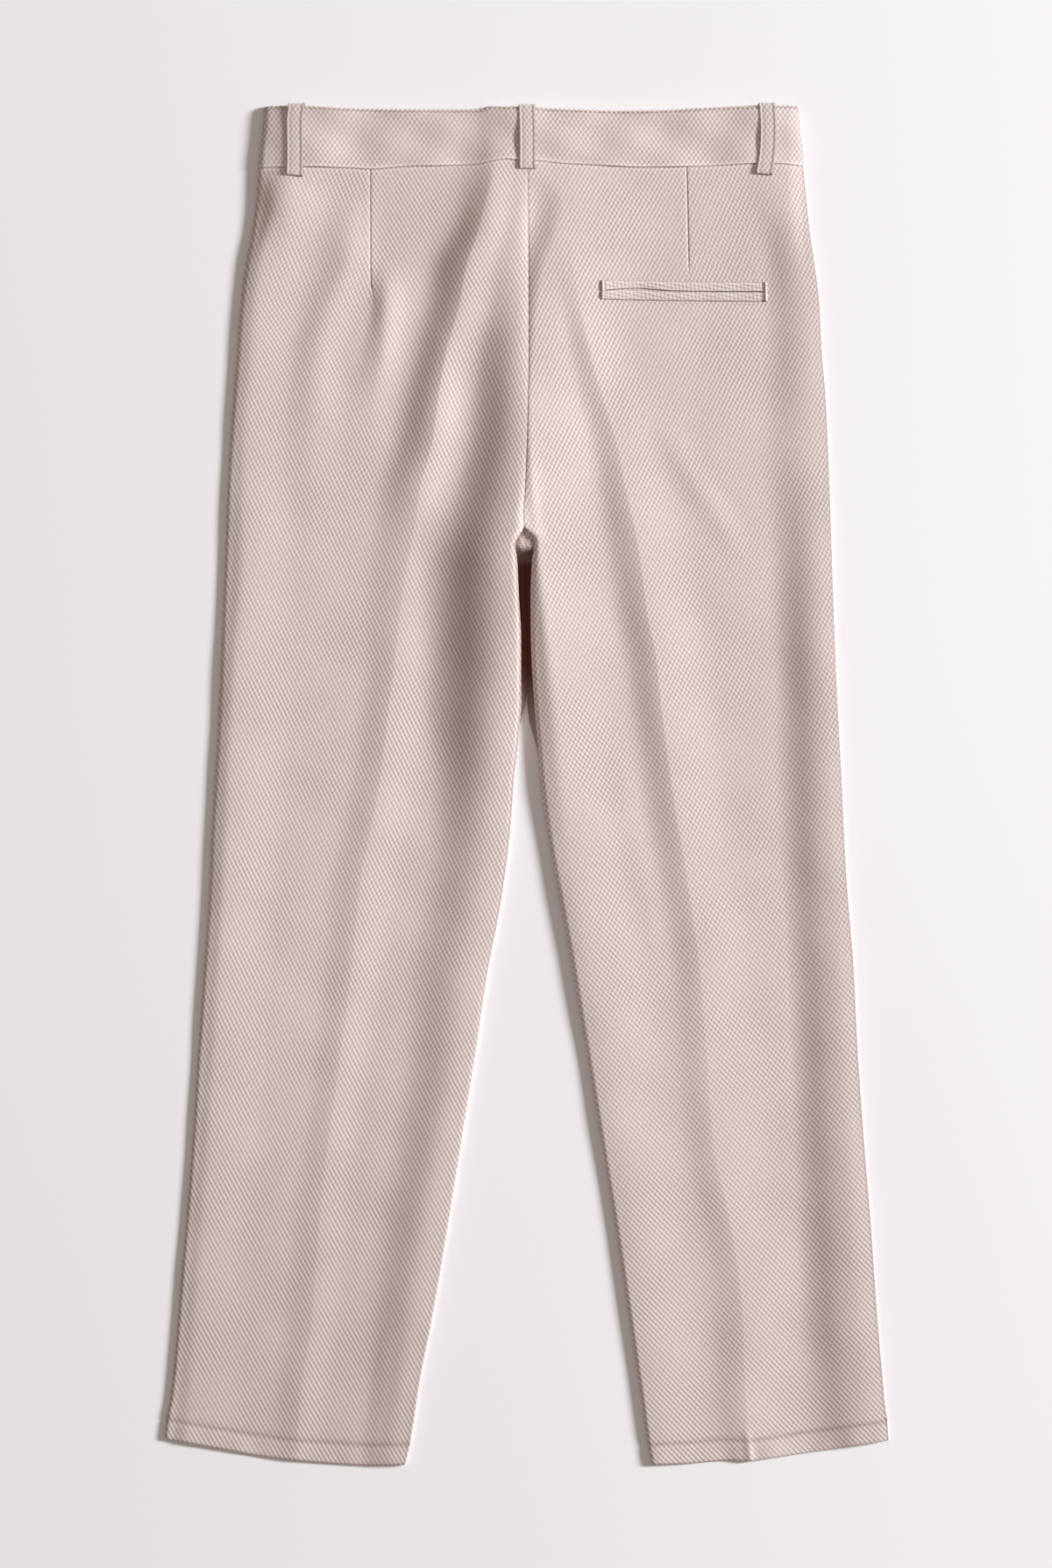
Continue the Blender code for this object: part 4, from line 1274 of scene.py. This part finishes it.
@dataclass
class FrontPanel(Sheet):
    """The front of one leg, flat on the surface under the back."""

    leg: Leg
    step: float = 7.0
    top: float = 49.0
    length: float = 954.0
    # painted shade on this strip of the front fills the gap between the legs
    reach: float = 6.0  # how far its inseam lies out between the legs below the fork
    fork_rows: tuple[float, float] = (243.0, 296.0)  # where its rows lie close together
    fork_step: float = 0.55
    columns: int = 44
    facing = Facing.DOWN

    def __post_init__(self) -> None:
        """Works out its rows."""
        rows = close_rows(self.length, self.step, (0.0, 0.3, 0.7, 1.3, 2.2, 4.0, 8.0))
        first, last = self.fork_rows
        coarse = rows[(rows < first) | (rows > last)]
        self.rows = np.sort(np.concatenate([coarse, np.arange(first, last, self.fork_step)]))

    def names(self) -> tuple[str, str]:
        """Its name and its node's."""
        return f"front_panel_{self.leg.side.value}", f"front_{self.leg.side.value}"

    def steps(self) -> tuple[int, int]:
        """How many steps it has across and along."""
        return self.columns, len(self.rows) - 1

    def inner(self, down: Numbers) -> Numbers:
        """The centre front and the inseam.

        Args:
            down: Down the garment.

        Returns:
            x at each point.
        """
        sign = self.leg.sign
        gap = np.minimum(self.reach, np.abs(RIGHT_INNER(down) - LEFT_INNER(down)) / 2 + 0.3)
        out = gap * fading(down, GAP_END[self.leg.side], 44)
        return np.where(down < FRONT_FORK, 0.6 - 0.1 * sign, self.leg.inner(down) - sign * out)

    def fork(self, x: Numbers, down: Numbers) -> Numbers:
        """The small flap of cloth that stands up at the fork, with its fine wrinkles.

        Args:
            x: Across the garment.
            down: Down the garment.

        Returns:
            The rise at each point.
        """
        beside = 1 - eased((np.abs(x + 1.6) - 4.5) / 6)
        along = eased((down - 296) / 10) * fading(down, 327, 9)
        wrinkles = np.sin((down - 0.12 * x) * math.tau / 2.1) * eased((down - 318) / 3)
        return beside * along * (4.6 + 0.2 * wrinkles + 0.12 * np.sin(x * 1.3))

    def place(self, column: Numbers, row: Numbers) -> Laid:
        """Lays the panel's points.

        Args:
            column: Column numbers.
            row: Row numbers.

        Returns:
            The laid points.
        """
        leg = self.leg
        share = self.rows[row] / self.length
        across_share = crowded(self.columns, 1.7)[column]
        down = self.top + share * self.length
        for _ in range(SETTLING):
            ends = (leg.outer(down), self.inner(down))
            first, last = ends if leg.side is Side.LEFT else ends[::-1]
            x = first + (last - first) * across_share
            down = self.top + share * (leg.hem(x) - self.top)
        from_side = np.abs(x - leg.outer(down))
        from_inner = np.abs(x - self.inner(down))
        from_hem = leg.hem(x) - down
        open_leg = eased((down - FRONT_FORK) / 10)
        edge = np.minimum(from_side, np.minimum(from_hem, from_inner + 3 * (1 - open_leg)))
        fly = 1.25 * (1 - eased((np.abs(x) - 16) / 14))  # it lies on its closed zip and hook
        relief = Relief(1 - rounded(edge / 1.2) + self.fork(x, down))
        relief.height = relief.height + fly * fading(down, 232, 16)
        # Painted shadow: where the fronts show between the legs their colour is darkened to a deep
        # brown, and further down it is paled and lightened to a grey like the shadowed surface.
        under = (down > 280) & (down < 530)
        painted_shade = np.where(under, fading(from_inner, 5, 30), 0.0)
        relief.highlight_and_wear = painted_shade * eased((down - 400) / 30)
        flap = eased((down - 324.5) / 6)
        painted_shade = painted_shade * (0.09 + 0.81 * flap + 0.10 * eased((down - 336) / 5))
        relief.painted_shade = painted_shade * (1 - 0.5 * eased((down - 412) / 66))
        return relief.laid(x, down, *leg.grain(x, down))._replace(slant=leg.slant(down))


# ---------------------------------------------------------------- the waistband and its loops

BAND_PROUD = 0.3  # how far the waistband stands above the panels at its seam
LOOP_WIDTH = 12.2
LOOP_CLOTH = 0.8
FRONT_LOOP_X = 105.0


def band_height(x: Numbers) -> Numbers:
    """Height of the back waistband's outer face across the garment."""
    return LIE(WAIST) + WAIST_RISE(x) + BAND_PROUD


def resting_on(x: Numbers, down: Numbers) -> Numbers:
    """Height of the outer face of whatever lies on top at each point of the back.

    Args:
        x: Across the garment.
        down: Down the garment.

    Returns:
        The height of the waistband, or of the panel below its seam.
    """
    panel = np.where(x < 0, LEFT_LEG.surface(x, down), RIGHT_LEG.surface(x, down))
    return np.where(down < WAIST_SEAM(x), band_height(x), panel)


@dataclass
class BackBand(Sheet):
    """The back waistband: one folded strip that stands over the panels' top edges."""

    columns: int = 150
    rows: tuple[float, ...] = (
        0.0, 0.2, 0.5, 0.9, 1.4, 2.0, 2.6, 3.2, 3.9, 5.0, 7.5, 11.0, 15.0, 19.0, 23.0, 27.0, 31.0,
        35.0, 38.0, 40.0, 41.2, 42.0, 42.7, 43.3, 43.8, 44.2, 44.5,
    )  # fmt: skip
    top_roll: float = 2.6
    stitch_row: float = 2.5  # below its top edge
    stitch_pitch: float = 3.5
    wall = 1.3

    def names(self) -> tuple[str, str]:
        """Its name and its node's."""
        return "band_back", "waistband_back"

    def steps(self) -> tuple[int, int]:
        """How many steps it has across and along."""
        return self.columns, len(self.rows) - 1

    def height(self, x: Numbers, share: Numbers) -> Numbers:
        """Height of its outer face away from its turned edges.

        Args:
            x: Across the garment.
            share: Share of the way from its top edge to its seam.

        Returns:
            The height at each point.
        """
        dip = 0.35 * np.sin(np.pi * np.clip(share, 0, 1)) ** 2
        return band_height(x) - dip + 0.7 * ripple(x * 1.2, share * 80)

    def place(self, column: Numbers, row: Numbers) -> Laid:
        """Lays the band's points.

        Args:
            column: Column numbers.
            row: Row numbers.

        Returns:
            The laid points.
        """
        share = np.array(self.rows)[row] / self.rows[-1]
        part = crowded(self.columns, 1.12)[column]
        down = 2 + share * 44
        for _ in range(SETTLING):
            first, last = LEFT_BAND_END(down), RIGHT_BAND_END(down)
            x = first + (last - first) * part
            top, bottom = WAIST_TOP(x), WAIST_SEAM(x) - 0.03
            down = top + share * (bottom - top)
        from_top, from_seam = down - top, bottom - down
        from_end = np.minimum(x - first, last - x)
        lip = bead(from_seam, 1.2, 0.95)
        channel = bead(from_top, self.stitch_row, 0.7)
        relief = Relief(self.height(x, share) + 0.18 * lip - 0.22 * channel)
        relief.turn(from_top, self.top_roll)
        relief.turn(from_end, np.where(x < 0, 3.0, 1.2))
        relief.sink(0.45, from_seam, 0.9)
        # Painted highlight on the lip above the seam and along the top edge; painted shade in the
        # stitched channel, darker between stitches, and along the band's ends.
        relief.highlight_and_wear = 0.4 * lip + 0.4 * fading(from_top, 0, 1.3)
        relief.painted_shade = channel * (0.30 + 0.25 * pits(x, self.stitch_pitch))
        relief.darken(np.where(x < 0, 0.15, 0.74), from_end - 0.9, 1.3)
        return relief.laid(x, down, x, down)


@dataclass
class FrontBand(Sheet):
    """One half of the front waistband, flat under the back one."""

    leg: Leg
    columns: int = 60
    top_drop: float = 1.2  # its top edge lies this much below the back's
    depth: float = 46.0
    tab: float = 30.0  # the left half reaches this far past the centre
    lap: float = 8.0  # the right half reaches this far past the centre, over the tab
    over_tab: float = 3.1  # how high the right half lies over the tab and its hook
    over_loop: float = 1.2  # how high it lies over its belt loop
    facing = Facing.DOWN

    def __post_init__(self) -> None:
        """Works out its rows."""
        self.rows = close_rows(self.depth, 5.0, (0.0, 0.3, 0.7, 1.3, 2.2))

    def names(self) -> tuple[str, str]:
        """Its name and its node's."""
        return f"band_front_{self.leg.side.value}", f"waistband_front_{self.leg.side.value}"

    def steps(self) -> tuple[int, int]:
        """How many steps it has across and along."""
        return self.columns, len(self.rows) - 1

    def place(self, column: Numbers, row: Numbers) -> Laid:
        """Lays the band's points.

        Args:
            column: Column numbers.
            row: Row numbers.

        Returns:
            The laid points.
        """
        share = self.rows[row] / self.depth
        part = crowded(self.columns, 1.4)[column]
        down = 3 + share * 45
        for _ in range(SETTLING):
            if self.leg.side is Side.LEFT:
                first, last = LEFT_BAND_END(down) + 0.2, np.full(len(down), self.tab)
            else:
                first, last = np.full(len(down), -self.lap), RIGHT_BAND_END(down) - 0.2
            x = first + (last - first) * part
            top = WAIST_TOP(x) + self.top_drop
            down = top + share * (WAIST_SEAM(x) + 1.6 - top)
        from_edge = np.minimum(np.minimum(x - first, last - x), down - top)
        beside = eased((np.abs(np.abs(x) - FRONT_LOOP_X) - 8) / 14)
        lift = self.over_loop * (1 - beside) * fading(down, 56, 16)
        height = 0.9 * (1 - rounded(from_edge / 1.2)) + lift
        if self.leg.side is Side.RIGHT:
            height = height + self.over_tab * (1 - eased((x - self.tab - 2) / 22))
        else:
            height = height + 1.25 * eased((x + 26) / 22)
        return Relief(height).laid(x, down, x, down)


class PathPoint(NamedTuple):
    """A point of a belt loop's outer face along its length."""

    down: float
    height: float


@dataclass
class BeltLoop(Sheet):
    """A belt loop of the back: a folded strip, turned over the band's top and under at its foot."""

    side: str
    centre: Along
    foot: float
    stand: float
    slant: float = 0.0  # how much lower its foot's right corner lies
    columns: int = 14
    rows: int = 76
    wall = LOOP_CLOTH

    def names(self) -> tuple[str, str]:
        """Its name and its node's."""
        return f"loop_back_{self.side}", f"belt_loop_back_{self.side}"

    def steps(self) -> tuple[int, int]:
        """How many steps it has across and along."""
        return self.columns, self.rows

    def path(self) -> list[PathPoint]:
        """Works out its outer face in the middle of its width.

        Returns:
            The line from its turned end over the band's top to its foot.
        """
        x = float(self.centre(20))
        top = float(WAIST_TOP(x))
        seam = float(WAIST_SEAM(x))
        on_band = float(band_height(np.array(x))) + LOOP_CLOTH
        panel = float(resting_on(np.array([x]), np.array([self.foot]))[0]) + LOOP_CLOTH + 0.15
        return [
            PathPoint(top - 0.6, 1.3),
            PathPoint(top - 1.0, 2.4),
            PathPoint(top - 1.25, on_band - 2.2),
            PathPoint(top - 0.9, on_band - 0.9),
            PathPoint(top + 0.1, on_band - 0.05),
            PathPoint(top + 1.6, on_band + 0.2),
            PathPoint(top + 4.0, on_band + 0.15 + 0.3 * self.stand),
            PathPoint(top + 9.0, on_band + 0.05 + 0.8 * self.stand),
            PathPoint(top + 17.0, on_band + self.stand),
            PathPoint(seam - 16.0, on_band + self.stand),
            PathPoint(seam - 7.0, on_band + 0.7 * self.stand),
            PathPoint(seam - 2.0, on_band + 0.25),
            PathPoint(min(seam + 1.5, self.foot - 3.5), 0.5 * (on_band + panel) + 0.25),
            PathPoint(self.foot - 2.4, panel + 0.35),
            PathPoint(self.foot - 0.9, panel + 0.25),
            PathPoint(self.foot - 0.2, panel - 0.1),
            PathPoint(self.foot, panel - 0.5),
            PathPoint(self.foot - 0.2, panel - 0.9),
        ]

    def place(self, column: Numbers, row: Numbers) -> Laid:
        """Lays the loop's points.

        Args:
            column: Column numbers.
            row: Row numbers.

        Returns:
            The laid points.
        """
        path = np.array(self.path())
        length = np.concatenate([[0], np.cumsum(np.hypot(*np.diff(path, axis=0).T))])
        here = length[-1] * row / self.rows
        down, height = (Along(np.stack([length, line], 1))(here) for line in path.T)
        offset = (crowded(self.columns, 1.35)[column] - 0.5) * LOOP_WIDTH
        from_edge = LOOP_WIDTH / 2 - np.abs(offset)
        x = self.centre(down) + offset
        near_foot = eased((down - self.foot + 12) / 12)
        down = down + self.slant * (offset / LOOP_WIDTH) * near_foot
        rim, channel = bead(from_edge, 0.9, 0.7), bead(from_edge, 2.2, 0.6)
        relief = Relief(height + 0.2 * rim - 0.26 * channel)
        relief.sink(0.75, from_edge, 0.8)
        follow = resting_on(x, down) - resting_on(self.centre(down), down)
        follow = np.where(down < WAIST_SEAM(x), follow, 0.6 * follow)
        level = np.clip((relief.height - 3.0) / 2.0, 0, 1)
        relief.height = relief.height + 0.8 * level * follow
        # Painted highlight and wear on the rims, more on the left; a slight overall darkening, and
        # painted shade in the stitched channel, on the right edge and at the foot.
        relief.highlight_and_wear = 0.12 + 0.3 * rim * (offset < 0) + 0.2 * rim
        relief.painted_shade = 0.1 + channel * (0.12 + 0.22 * pits(here, 3.1))
        relief.darken(np.where(offset > 0, 0.6, 0.0), from_edge - 0.5, 0.9)
        relief.darken(0.2, self.foot - down, 1.0)
        return relief.laid(x, down, offset + 40, here)


BACK_LOOPS = (
    BeltLoop(
        "left", Along([(0, -169.4), (14.5, -170.9), (36, -170.6), (54, -170.9)]), 54.0, 0.1, 1.4
    ),
    BeltLoop("centre", Along([(0, -0.2), (27, 0.5), (50, 0.5)]), 49.2, 0.3),
    BeltLoop("right", Along([(0, 176.4), (20, 177.5), (34, 177.0), (53, 174.4)]), 53.2, 0.2, 1.2),
)


@dataclass
class FrontLoop(Sheet):
    """A belt loop of the front, flat under the front waistband."""

    leg: Leg
    foot: float = 54.0
    columns: int = 14
    wall = LOOP_CLOTH
    facing = Facing.DOWN

    def __post_init__(self) -> None:
        """Works out its rows, as shares of its length."""
        self.rows = close_rows(1.0, 0.05, (0.0, 0.01, 0.025))

    def names(self) -> tuple[str, str]:
        """Its name and its node's."""
        return f"loop_front_{self.leg.side.value}", f"belt_loop_front_{self.leg.side.value}"

    def steps(self) -> tuple[int, int]:
        """How many steps it has across and along."""
        return self.columns, len(self.rows) - 1

    def place(self, column: Numbers, row: Numbers) -> Laid:
        """Lays the loop's points.

        Args:
            column: Column numbers.
            row: Row numbers.

        Returns:
            The laid points.
        """
        offset = (column / self.columns - 0.5) * LOOP_WIDTH
        middle = self.leg.sign * FRONT_LOOP_X
        top = float(WAIST_TOP(middle)) + 1.0
        down = top + self.rows[row] * (self.foot - top)
        from_end = np.minimum(down - top, self.foot - down)
        from_edge = np.minimum(LOOP_WIDTH / 2 - np.abs(offset), from_end)
        relief = Relief(0.7 * (1 - rounded(from_edge / 0.9)))
        # Painted highlight and wear along its edges.
        relief.highlight_and_wear = 0.4 * fading(from_edge, 0, 1.2)
        return relief.laid(middle + offset, down, offset, down)


# ---------------------------------------------------------------- the back pocket

POCKET_LEFT, POCKET_RIGHT = 54.9, 177.2
POCKET_TOP = Along([(55, 130.3), (72, 130.6), (102, 131.2), (120, 131.7), (176, 131.9)])
POCKET_SLIT = Along([(55, 138.6), (62, 137.7), (74, 137.2), (84, 137.2), (92, 137.9), (104, 138.6),
                     (118, 138.9), (150, 139.1), (176, 139.2)])  # fmt: skip
POCKET_BOTTOM = Along([(55, 144.6), (90, 145.3), (130, 145.8), (176, 146.3)])
SLIT_GAP = Along([(58, 0.0), (66, 0.15), (74, 0.4), (84, 0.55), (94, 0.55), (108, 0.3), (172, 0.22),
                  (174, 0.0)])  # fmt: skip


class Lip(Enum):
    """The two welts of the pocket."""

    UPPER = "upper"
    LOWER = "lower"


@dataclass
class Welt(Sheet):
    """One welt of the back pocket: a folded strip on the bias, its fold along the slit."""

    lip: Lip
    proud: float = 0.95
    rows: tuple[float, ...] = (0.0, 0.03, 0.07, 0.13, 0.2, 0.3, 0.45, 0.6, 0.74, 0.85, 0.92, 0.97, 1.0)
    step: float = 1.15
    bar: float = 1.7  # width of the stitched bar at each end
    slit: float = 2.2  # width of the bowed opening beside the right bar
    bias: float = 42.0  # degrees that its weave is turned
    wall = 0.8

    def __post_init__(self) -> None:
        """Works out its columns."""
        ends = (0.0, 0.18, 0.4, 0.7, 1.1, 1.5, 1.8, 2.05, 2.3, 2.8, 3.4, 4.0, 4.3, 5.0)
        self.columns = close_rows(POCKET_RIGHT - POCKET_LEFT, self.step, ends)

    def names(self) -> tuple[str, str]:
        """Its name and its node's."""
        return f"welt_{self.lip.value}", f"pocket_welt_{self.lip.value}"

    def steps(self) -> tuple[int, int]:
        """How many steps it has across and along."""
        return len(self.columns) - 1, len(self.rows) - 1

    def place(self, column: Numbers, row: Numbers) -> Laid:
        """Lays the welt's points.

        Args:
            column: Column numbers.
            row: Row numbers.

        Returns:
            The laid points.
        """
        x = POCKET_LEFT + self.columns[column]
        share = np.array(self.rows)[row]
        upper = self.lip is Lip.UPPER
        if upper:
            first, last = POCKET_TOP(x), POCKET_SLIT(x) - SLIT_GAP(x)
        else:
            first, last = POCKET_SLIT(x) + SLIT_GAP(x), POCKET_BOTTOM(x)
        depth = last - first
        down = first + share * depth
        ends = (share * depth, (1 - share) * depth)
        from_seam, from_fold = ends if upper else ends[::-1]
        from_end = np.minimum(x - POCKET_LEFT, POCKET_RIGHT - x)
        beside = from_end - self.bar
        right = x > 100
        wide = np.where(right, self.slit, 0.5)
        loose = eased((beside - wide) / 1.5)
        bar = eased((from_end - 0.15) / 0.35) * fading(beside, 0, 0.3)
        opening = eased((beside - 0.2) / 0.25) * (1 - eased((beside - 0.2 - wide) / 0.4))

        crown = self.proud * rounded(from_seam / 2.4) * (0.55 + 0.45 * rounded(from_fold / 1.6))
        puff = 0.12 * ripple(x * 2.1, down * 3) * eased(from_seam / 2)
        relief = Relief(RIGHT_LEG.surface(x, down) + 0.1 + crown + puff)
        relief.sink(0.75 * loose, from_fold, 0.9)
        relief.sink(0.25, from_end, 1.2)
        relief.height = relief.height - 0.15 * opening + 0.06 * bar
        # Painted highlight and wear along the fold and the seam, a paler bar at each end; painted shade
        # at the slit, the seam, the opening and the ends.
        edges = 0.5 * bead(from_fold, 0.9, 0.6) + 0.4 * bead(from_seam, 1.1, 0.6)
        relief.highlight_and_wear = np.maximum(edges * (1 - bar) * loose, 0.3 * bar)
        relief.darken(0.8 * loose, from_fold - 0.15, 0.5)
        relief.darken(0.6, from_seam, 0.9)
        relief.painted_shade = relief.painted_shade * (1 - bar) + np.where(right, 0.7, 0.45) * opening
        relief.darken(0.6, from_end, 0.35)

        turned = math.radians(self.bias)
        across = x * math.cos(turned) - down * math.sin(turned)
        along = x * math.sin(turned) + down * math.cos(turned)
        return relief.laid(x, down, across, along)


# ---------------------------------------------------------------- stitches


class StitchPlace(NamedTuple):
    """Where one stitch lies and which way it runs."""

    x: float
    down: float
    height: float
    heading: float


def along_line(
    start: float, end: float, pitch: float, line: Along, above: Callable[[Numbers, Numbers], Numbers]
) -> list[StitchPlace]:
    """Stitch places along a line that crosses the garment.

    Args:
        start: x where the row starts.
        end: x where it ends.
        pitch: From one stitch to the next.
        line: How far down the row lies at each x.
        above: Height of the cloth at x and down.

    Returns:
        The places.
    """
    xs = np.arange(start + pitch / 2, end, pitch)
    downs = line(xs)
    slopes = line(xs + 0.5) - line(xs - 0.5)
    heights = above(xs, downs)
    headings = np.arctan2(-slopes, 1.0)
    return [StitchPlace(*map(float, p)) for p in zip(xs, downs, heights, headings)]


@dataclass
class StitchRow:
    """A row of stitches in one thread, made as one piece."""

    name: str
    places: list[StitchPlace]
    length: float = 2.3
    width: float = 0.5
    depth: float = 0.34

    def build(self, thread: bpy.types.Material) -> bpy.types.Object:
        """Makes the row.

        Args:
            thread: The thread's material.

        Returns:
            The piece.
        """
        form = bmesh.new()
        size = Matrix.Diagonal((self.depth / 2, self.width / 2, self.length / 2, 1 / MM)) * MM
        lying = Matrix.Rotation(math.pi / 2, 4, "Y") @ size
        for number, place in enumerate(self.places):
            point = Vector(to_frame(place.x, place.down, place.height))
            uneven = 0.05 * math.sin(number * 2.4)
            turned = Matrix.Rotation(place.heading + uneven, 4, "Z")
            where = Matrix.Translation(point) @ turned @ lying
            bmesh.ops.create_uvsphere(form, u_segments=6, v_segments=4, radius=1.0, matrix=where)
        mesh = as_mesh(self.name, form, thread)
        mesh.shade_smooth()
        return link(self.name, mesh)


def band_edge_row(band: BackBand) -> StitchRow:
    """The row of stitches along the back waistband's top edge.

    Args:
        band: The back waistband.

    Returns:
        The row.
    """
    edge = Along([(x, float(WAIST_TOP(x)) + band.stitch_row) for x in range(-196, 204, 4)])

    def on_band(x: Numbers, down: Numbers) -> Numbers:
        """Height of the band's stitched channel."""
        return band.height(x, band.stitch_row / band.rows[-1] + 0 * x) - 0.12

    places = along_line(-192, 198, 3.5, edge, on_band)
    return StitchRow("stitches_band_edge", places, 2.2, 0.55, 0.4)


def pocket_rows() -> list[StitchRow]:
    """The rows of stitches above and below the pocket.

    Returns:
        The rows.
    """
    above = Along([(56, 128.6), (90, 129.1), (120, 129.9), (176, 130.0)])
    below = Along([(56, 146.4), (90, 147.0), (130, 147.6), (178, 148.6)])

    def on_panel(x: Numbers, down: Numbers) -> Numbers:
        """Height of the right panel."""
        return RIGHT_LEG.surface(x, down) + 0.06

    return [
        StitchRow("stitches_pocket_top", along_line(56, 175.5, 2.9, above, on_panel), 2.2, 0.4, 0.24),
        StitchRow("stitches_pocket_bottom", along_line(56, 177.5, 2.9, below, on_panel), 2.2, 0.4, 0.24),
    ]


def hem_rows() -> list[StitchRow]:
    """The small stitches that hold each hem, set into the cloth; their thread is dark brown as painted
    shade of their dimples.

    Returns:
        One row for each leg.
    """
    rows = []
    for leg, start, end in ((LEFT_LEG, -262.0, -86.0), (RIGHT_LEG, 91.0, 264.0)):
        line = Along([(x, float(leg.hem(x)) - HEM_ROW) for x in np.arange(start - 3, end + 4, 4.0)])

        def above(x: Numbers, down: Numbers, leg: Leg = leg) -> Numbers:
            """Height of the hem's stitched line."""
            return leg.surface(x, down) - 0.34

        places = along_line(start, end, 3.9, line, above)
        rows.append(StitchRow(f"stitches_hem_{leg.side.value}", places, 1.5, 0.6, 0.3))
    return rows


# ---------------------------------------------------------------- the zip and the hook


@dataclass
class ZipTeeth:
    """The closed zip's teeth: two rows that mesh along the middle of the tape."""

    pitch: float = 2.2
    size: tuple[float, float, float] = (3.4, 1.15, 1.1)
    inset: float = 1.0  # each row's middle from the tape's middle
    spare: float = 4.0  # bare tape at its lower end
    rounding: float = 0.18

    def build(self, metal: bpy.types.Material) -> bpy.types.Object:
        """Makes both rows as one piece on the CAD's tape.

        Args:
            metal: The teeth's material.

        Returns:
            The piece.
        """
        low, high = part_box("zip_tape")
        middle = (low.x + high.x) / 2
        bottom, top = low.y + self.spare * MM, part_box("zip_slider")[0].y
        step = self.pitch * MM / 2
        form = bmesh.new()
        for number in range(int((top - bottom) / step)):
            aside = self.inset * MM * (1 if number % 2 else -1)
            point = Vector((middle + aside, bottom + number * step, high.z + self.size[2] * MM / 2))
            where = Matrix.Translation(point) @ Matrix.Diagonal((*self.size, 1 / MM)) * MM
            bmesh.ops.create_cube(form, size=1.0, matrix=where)
        bmesh.ops.bevel(
            form, geom=form.edges[:], offset=self.rounding * MM, offset_type="OFFSET",
            affect="EDGES", segments=1, profile=0.5, material=-1,
        )  # fmt: skip
        return link("zip_teeth", as_mesh("zip_teeth", form, metal))


def dress_fastenings() -> None:
    """Gives the CAD's tape, slider, pull, hook and bar their finishes and adds the teeth."""
    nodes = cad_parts
    tape, steel = Tape().make(), Steel().make()
    metal = dict.fromkeys(("zip_slider", "zip_pull", "waist_hook", "waist_bar"), steel)
    for name, finish in {"zip_tape": tape, **metal}.items():
        nodes[name].data.materials.clear()
        nodes[name].data.materials.append(finish)
        log.info("%s: dressed", name)
    ride_root(ZipTeeth().build(steel))


# ---------------------------------------------------------------- the set


@dataclass
class Stage:
    """The pale surface, the light from the right and the camera straight above."""

    floor: float = 24.0  # metres from its middle to its edge
    below: float = 0.2  # how far it lies under the cloth, in millimetres
    key_angle: float = 17.0  # above the surface
    key_turn: float = 12.0  # from the right towards the waist
    key_far: float = 8.5
    key_size: float = 1.5
    key_power: float = 1650.0
    key_colour: tuple[float, float, float] = (0.965, 1.008, 1.042)
    sky: tuple[float, float, float] = (0.360, 0.310, 0.285)
    lens: float = 85.0
    camera: tuple[float, float, float] = (-0.000175, 0.00023, 2.7295)

    def build(self) -> None:
        """Makes the surface, the lights and the camera."""
        form = bmesh.new()
        bmesh.ops.create_grid(form, x_segments=2, y_segments=2, size=self.floor)
        floor = link("surface", as_mesh("surface", form, Board().make()))
        floor.location.z = -self.below * MM

        world = bpy.data.worlds.new("soft_light")
        world.use_nodes = True
        background = world.node_tree.nodes["Background"]
        background.inputs["Color"].default_value = (*self.sky, 1)
        background.inputs["Strength"].default_value = 1.0
        bpy.context.scene.world = world

        raised, turned = math.radians(self.key_angle), math.radians(self.key_turn)
        level = math.cos(raised)
        way = Vector((level * math.cos(turned), level * math.sin(turned), math.sin(raised)))
        light = bpy.data.lights.new("key", "AREA")
        light.shape = "DISK"
        light.size = self.key_size
        light.energy = self.key_power
        light.color = self.key_colour
        key = link("key", light)
        key.location = way * self.key_far
        key.rotation_euler = way.to_track_quat("Z", "Y").to_euler()

        lens = bpy.data.cameras.new("camera")
        lens.lens = self.lens
        lens.sensor_width = 36.0
        lens.dof.use_dof = False
        camera = link("camera", lens)
        camera.location = self.camera
        bpy.context.scene.camera = camera
        bpy.context.scene.view_settings.view_transform = "Standard"


def ride_root(piece: bpy.types.Object) -> None:
    """Rides a piece on the garment.

    Args:
        piece: The piece.
    """
    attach(piece, "root")
    log.info("%s: %d faces", piece.name, len(piece.data.polygons))


def lay(
    piece: bpy.types.Object,
) -> None:
    """Args:
        piece: The sheet.
    """
    ride_root(piece)


def sewn(rows: Sequence[StitchRow], thread: bpy.types.Material) -> list[bpy.types.Object]:
    """Makes rows of stitches that ride on the garment.

    Args:
        rows: The rows.
        thread: Their thread.

    Returns:
        The pieces.
    """
    pieces = [row.build(thread) for row in rows]
    for piece in pieces:
        ride_root(piece)
    return pieces


def main() -> None:
    """Builds the trousers' pieces in order, then the set."""
    logging.basicConfig(level=logging.INFO, format="%(name)s: %(message)s")
    Stage().build()
    cloth = Suiting().make()
    sewing = Thread("sewing_thread", (0.70, 0.60, 0.575, 1), (0.58, 0.48, 0.45, 1)).make()
    # Painted shade: the hem stitches' thread is dark brown for the shade in their dimples.
    hem_shade_thread = Thread("hem_dimple_shade", (0.30, 0.20, 0.17, 1), (0.22, 0.14, 0.12, 1)).make()

    for leg in (LEFT_LEG, RIGHT_LEG):
        lay(FrontPanel(leg).build(cloth))
        lay(FrontBand(leg).build(cloth))
        lay(FrontLoop(leg).build(cloth))
    dress_fastenings()

    left_hem, right_hem = (sewn([row], hem_shade_thread) for row in hem_rows())
    welts = [Welt(lip).build(cloth) for lip in Lip]
    for welt in welts:
        ride_root(welt)
    on_right = right_hem + welts + sewn(pocket_rows(), sewing)
    left, right = BackPanel(LEFT_LEG).build(cloth), BackPanel(RIGHT_LEG).build(cloth)
    lay(left)
    lay(right)

    band = BackBand()
    strip = band.build(cloth)
    edge = sewn([band_edge_row(band)], sewing)
    lay(strip)
    for loop in BACK_LOOPS:
        lay(loop.build(cloth))


if __name__ == "__main__":
    main()
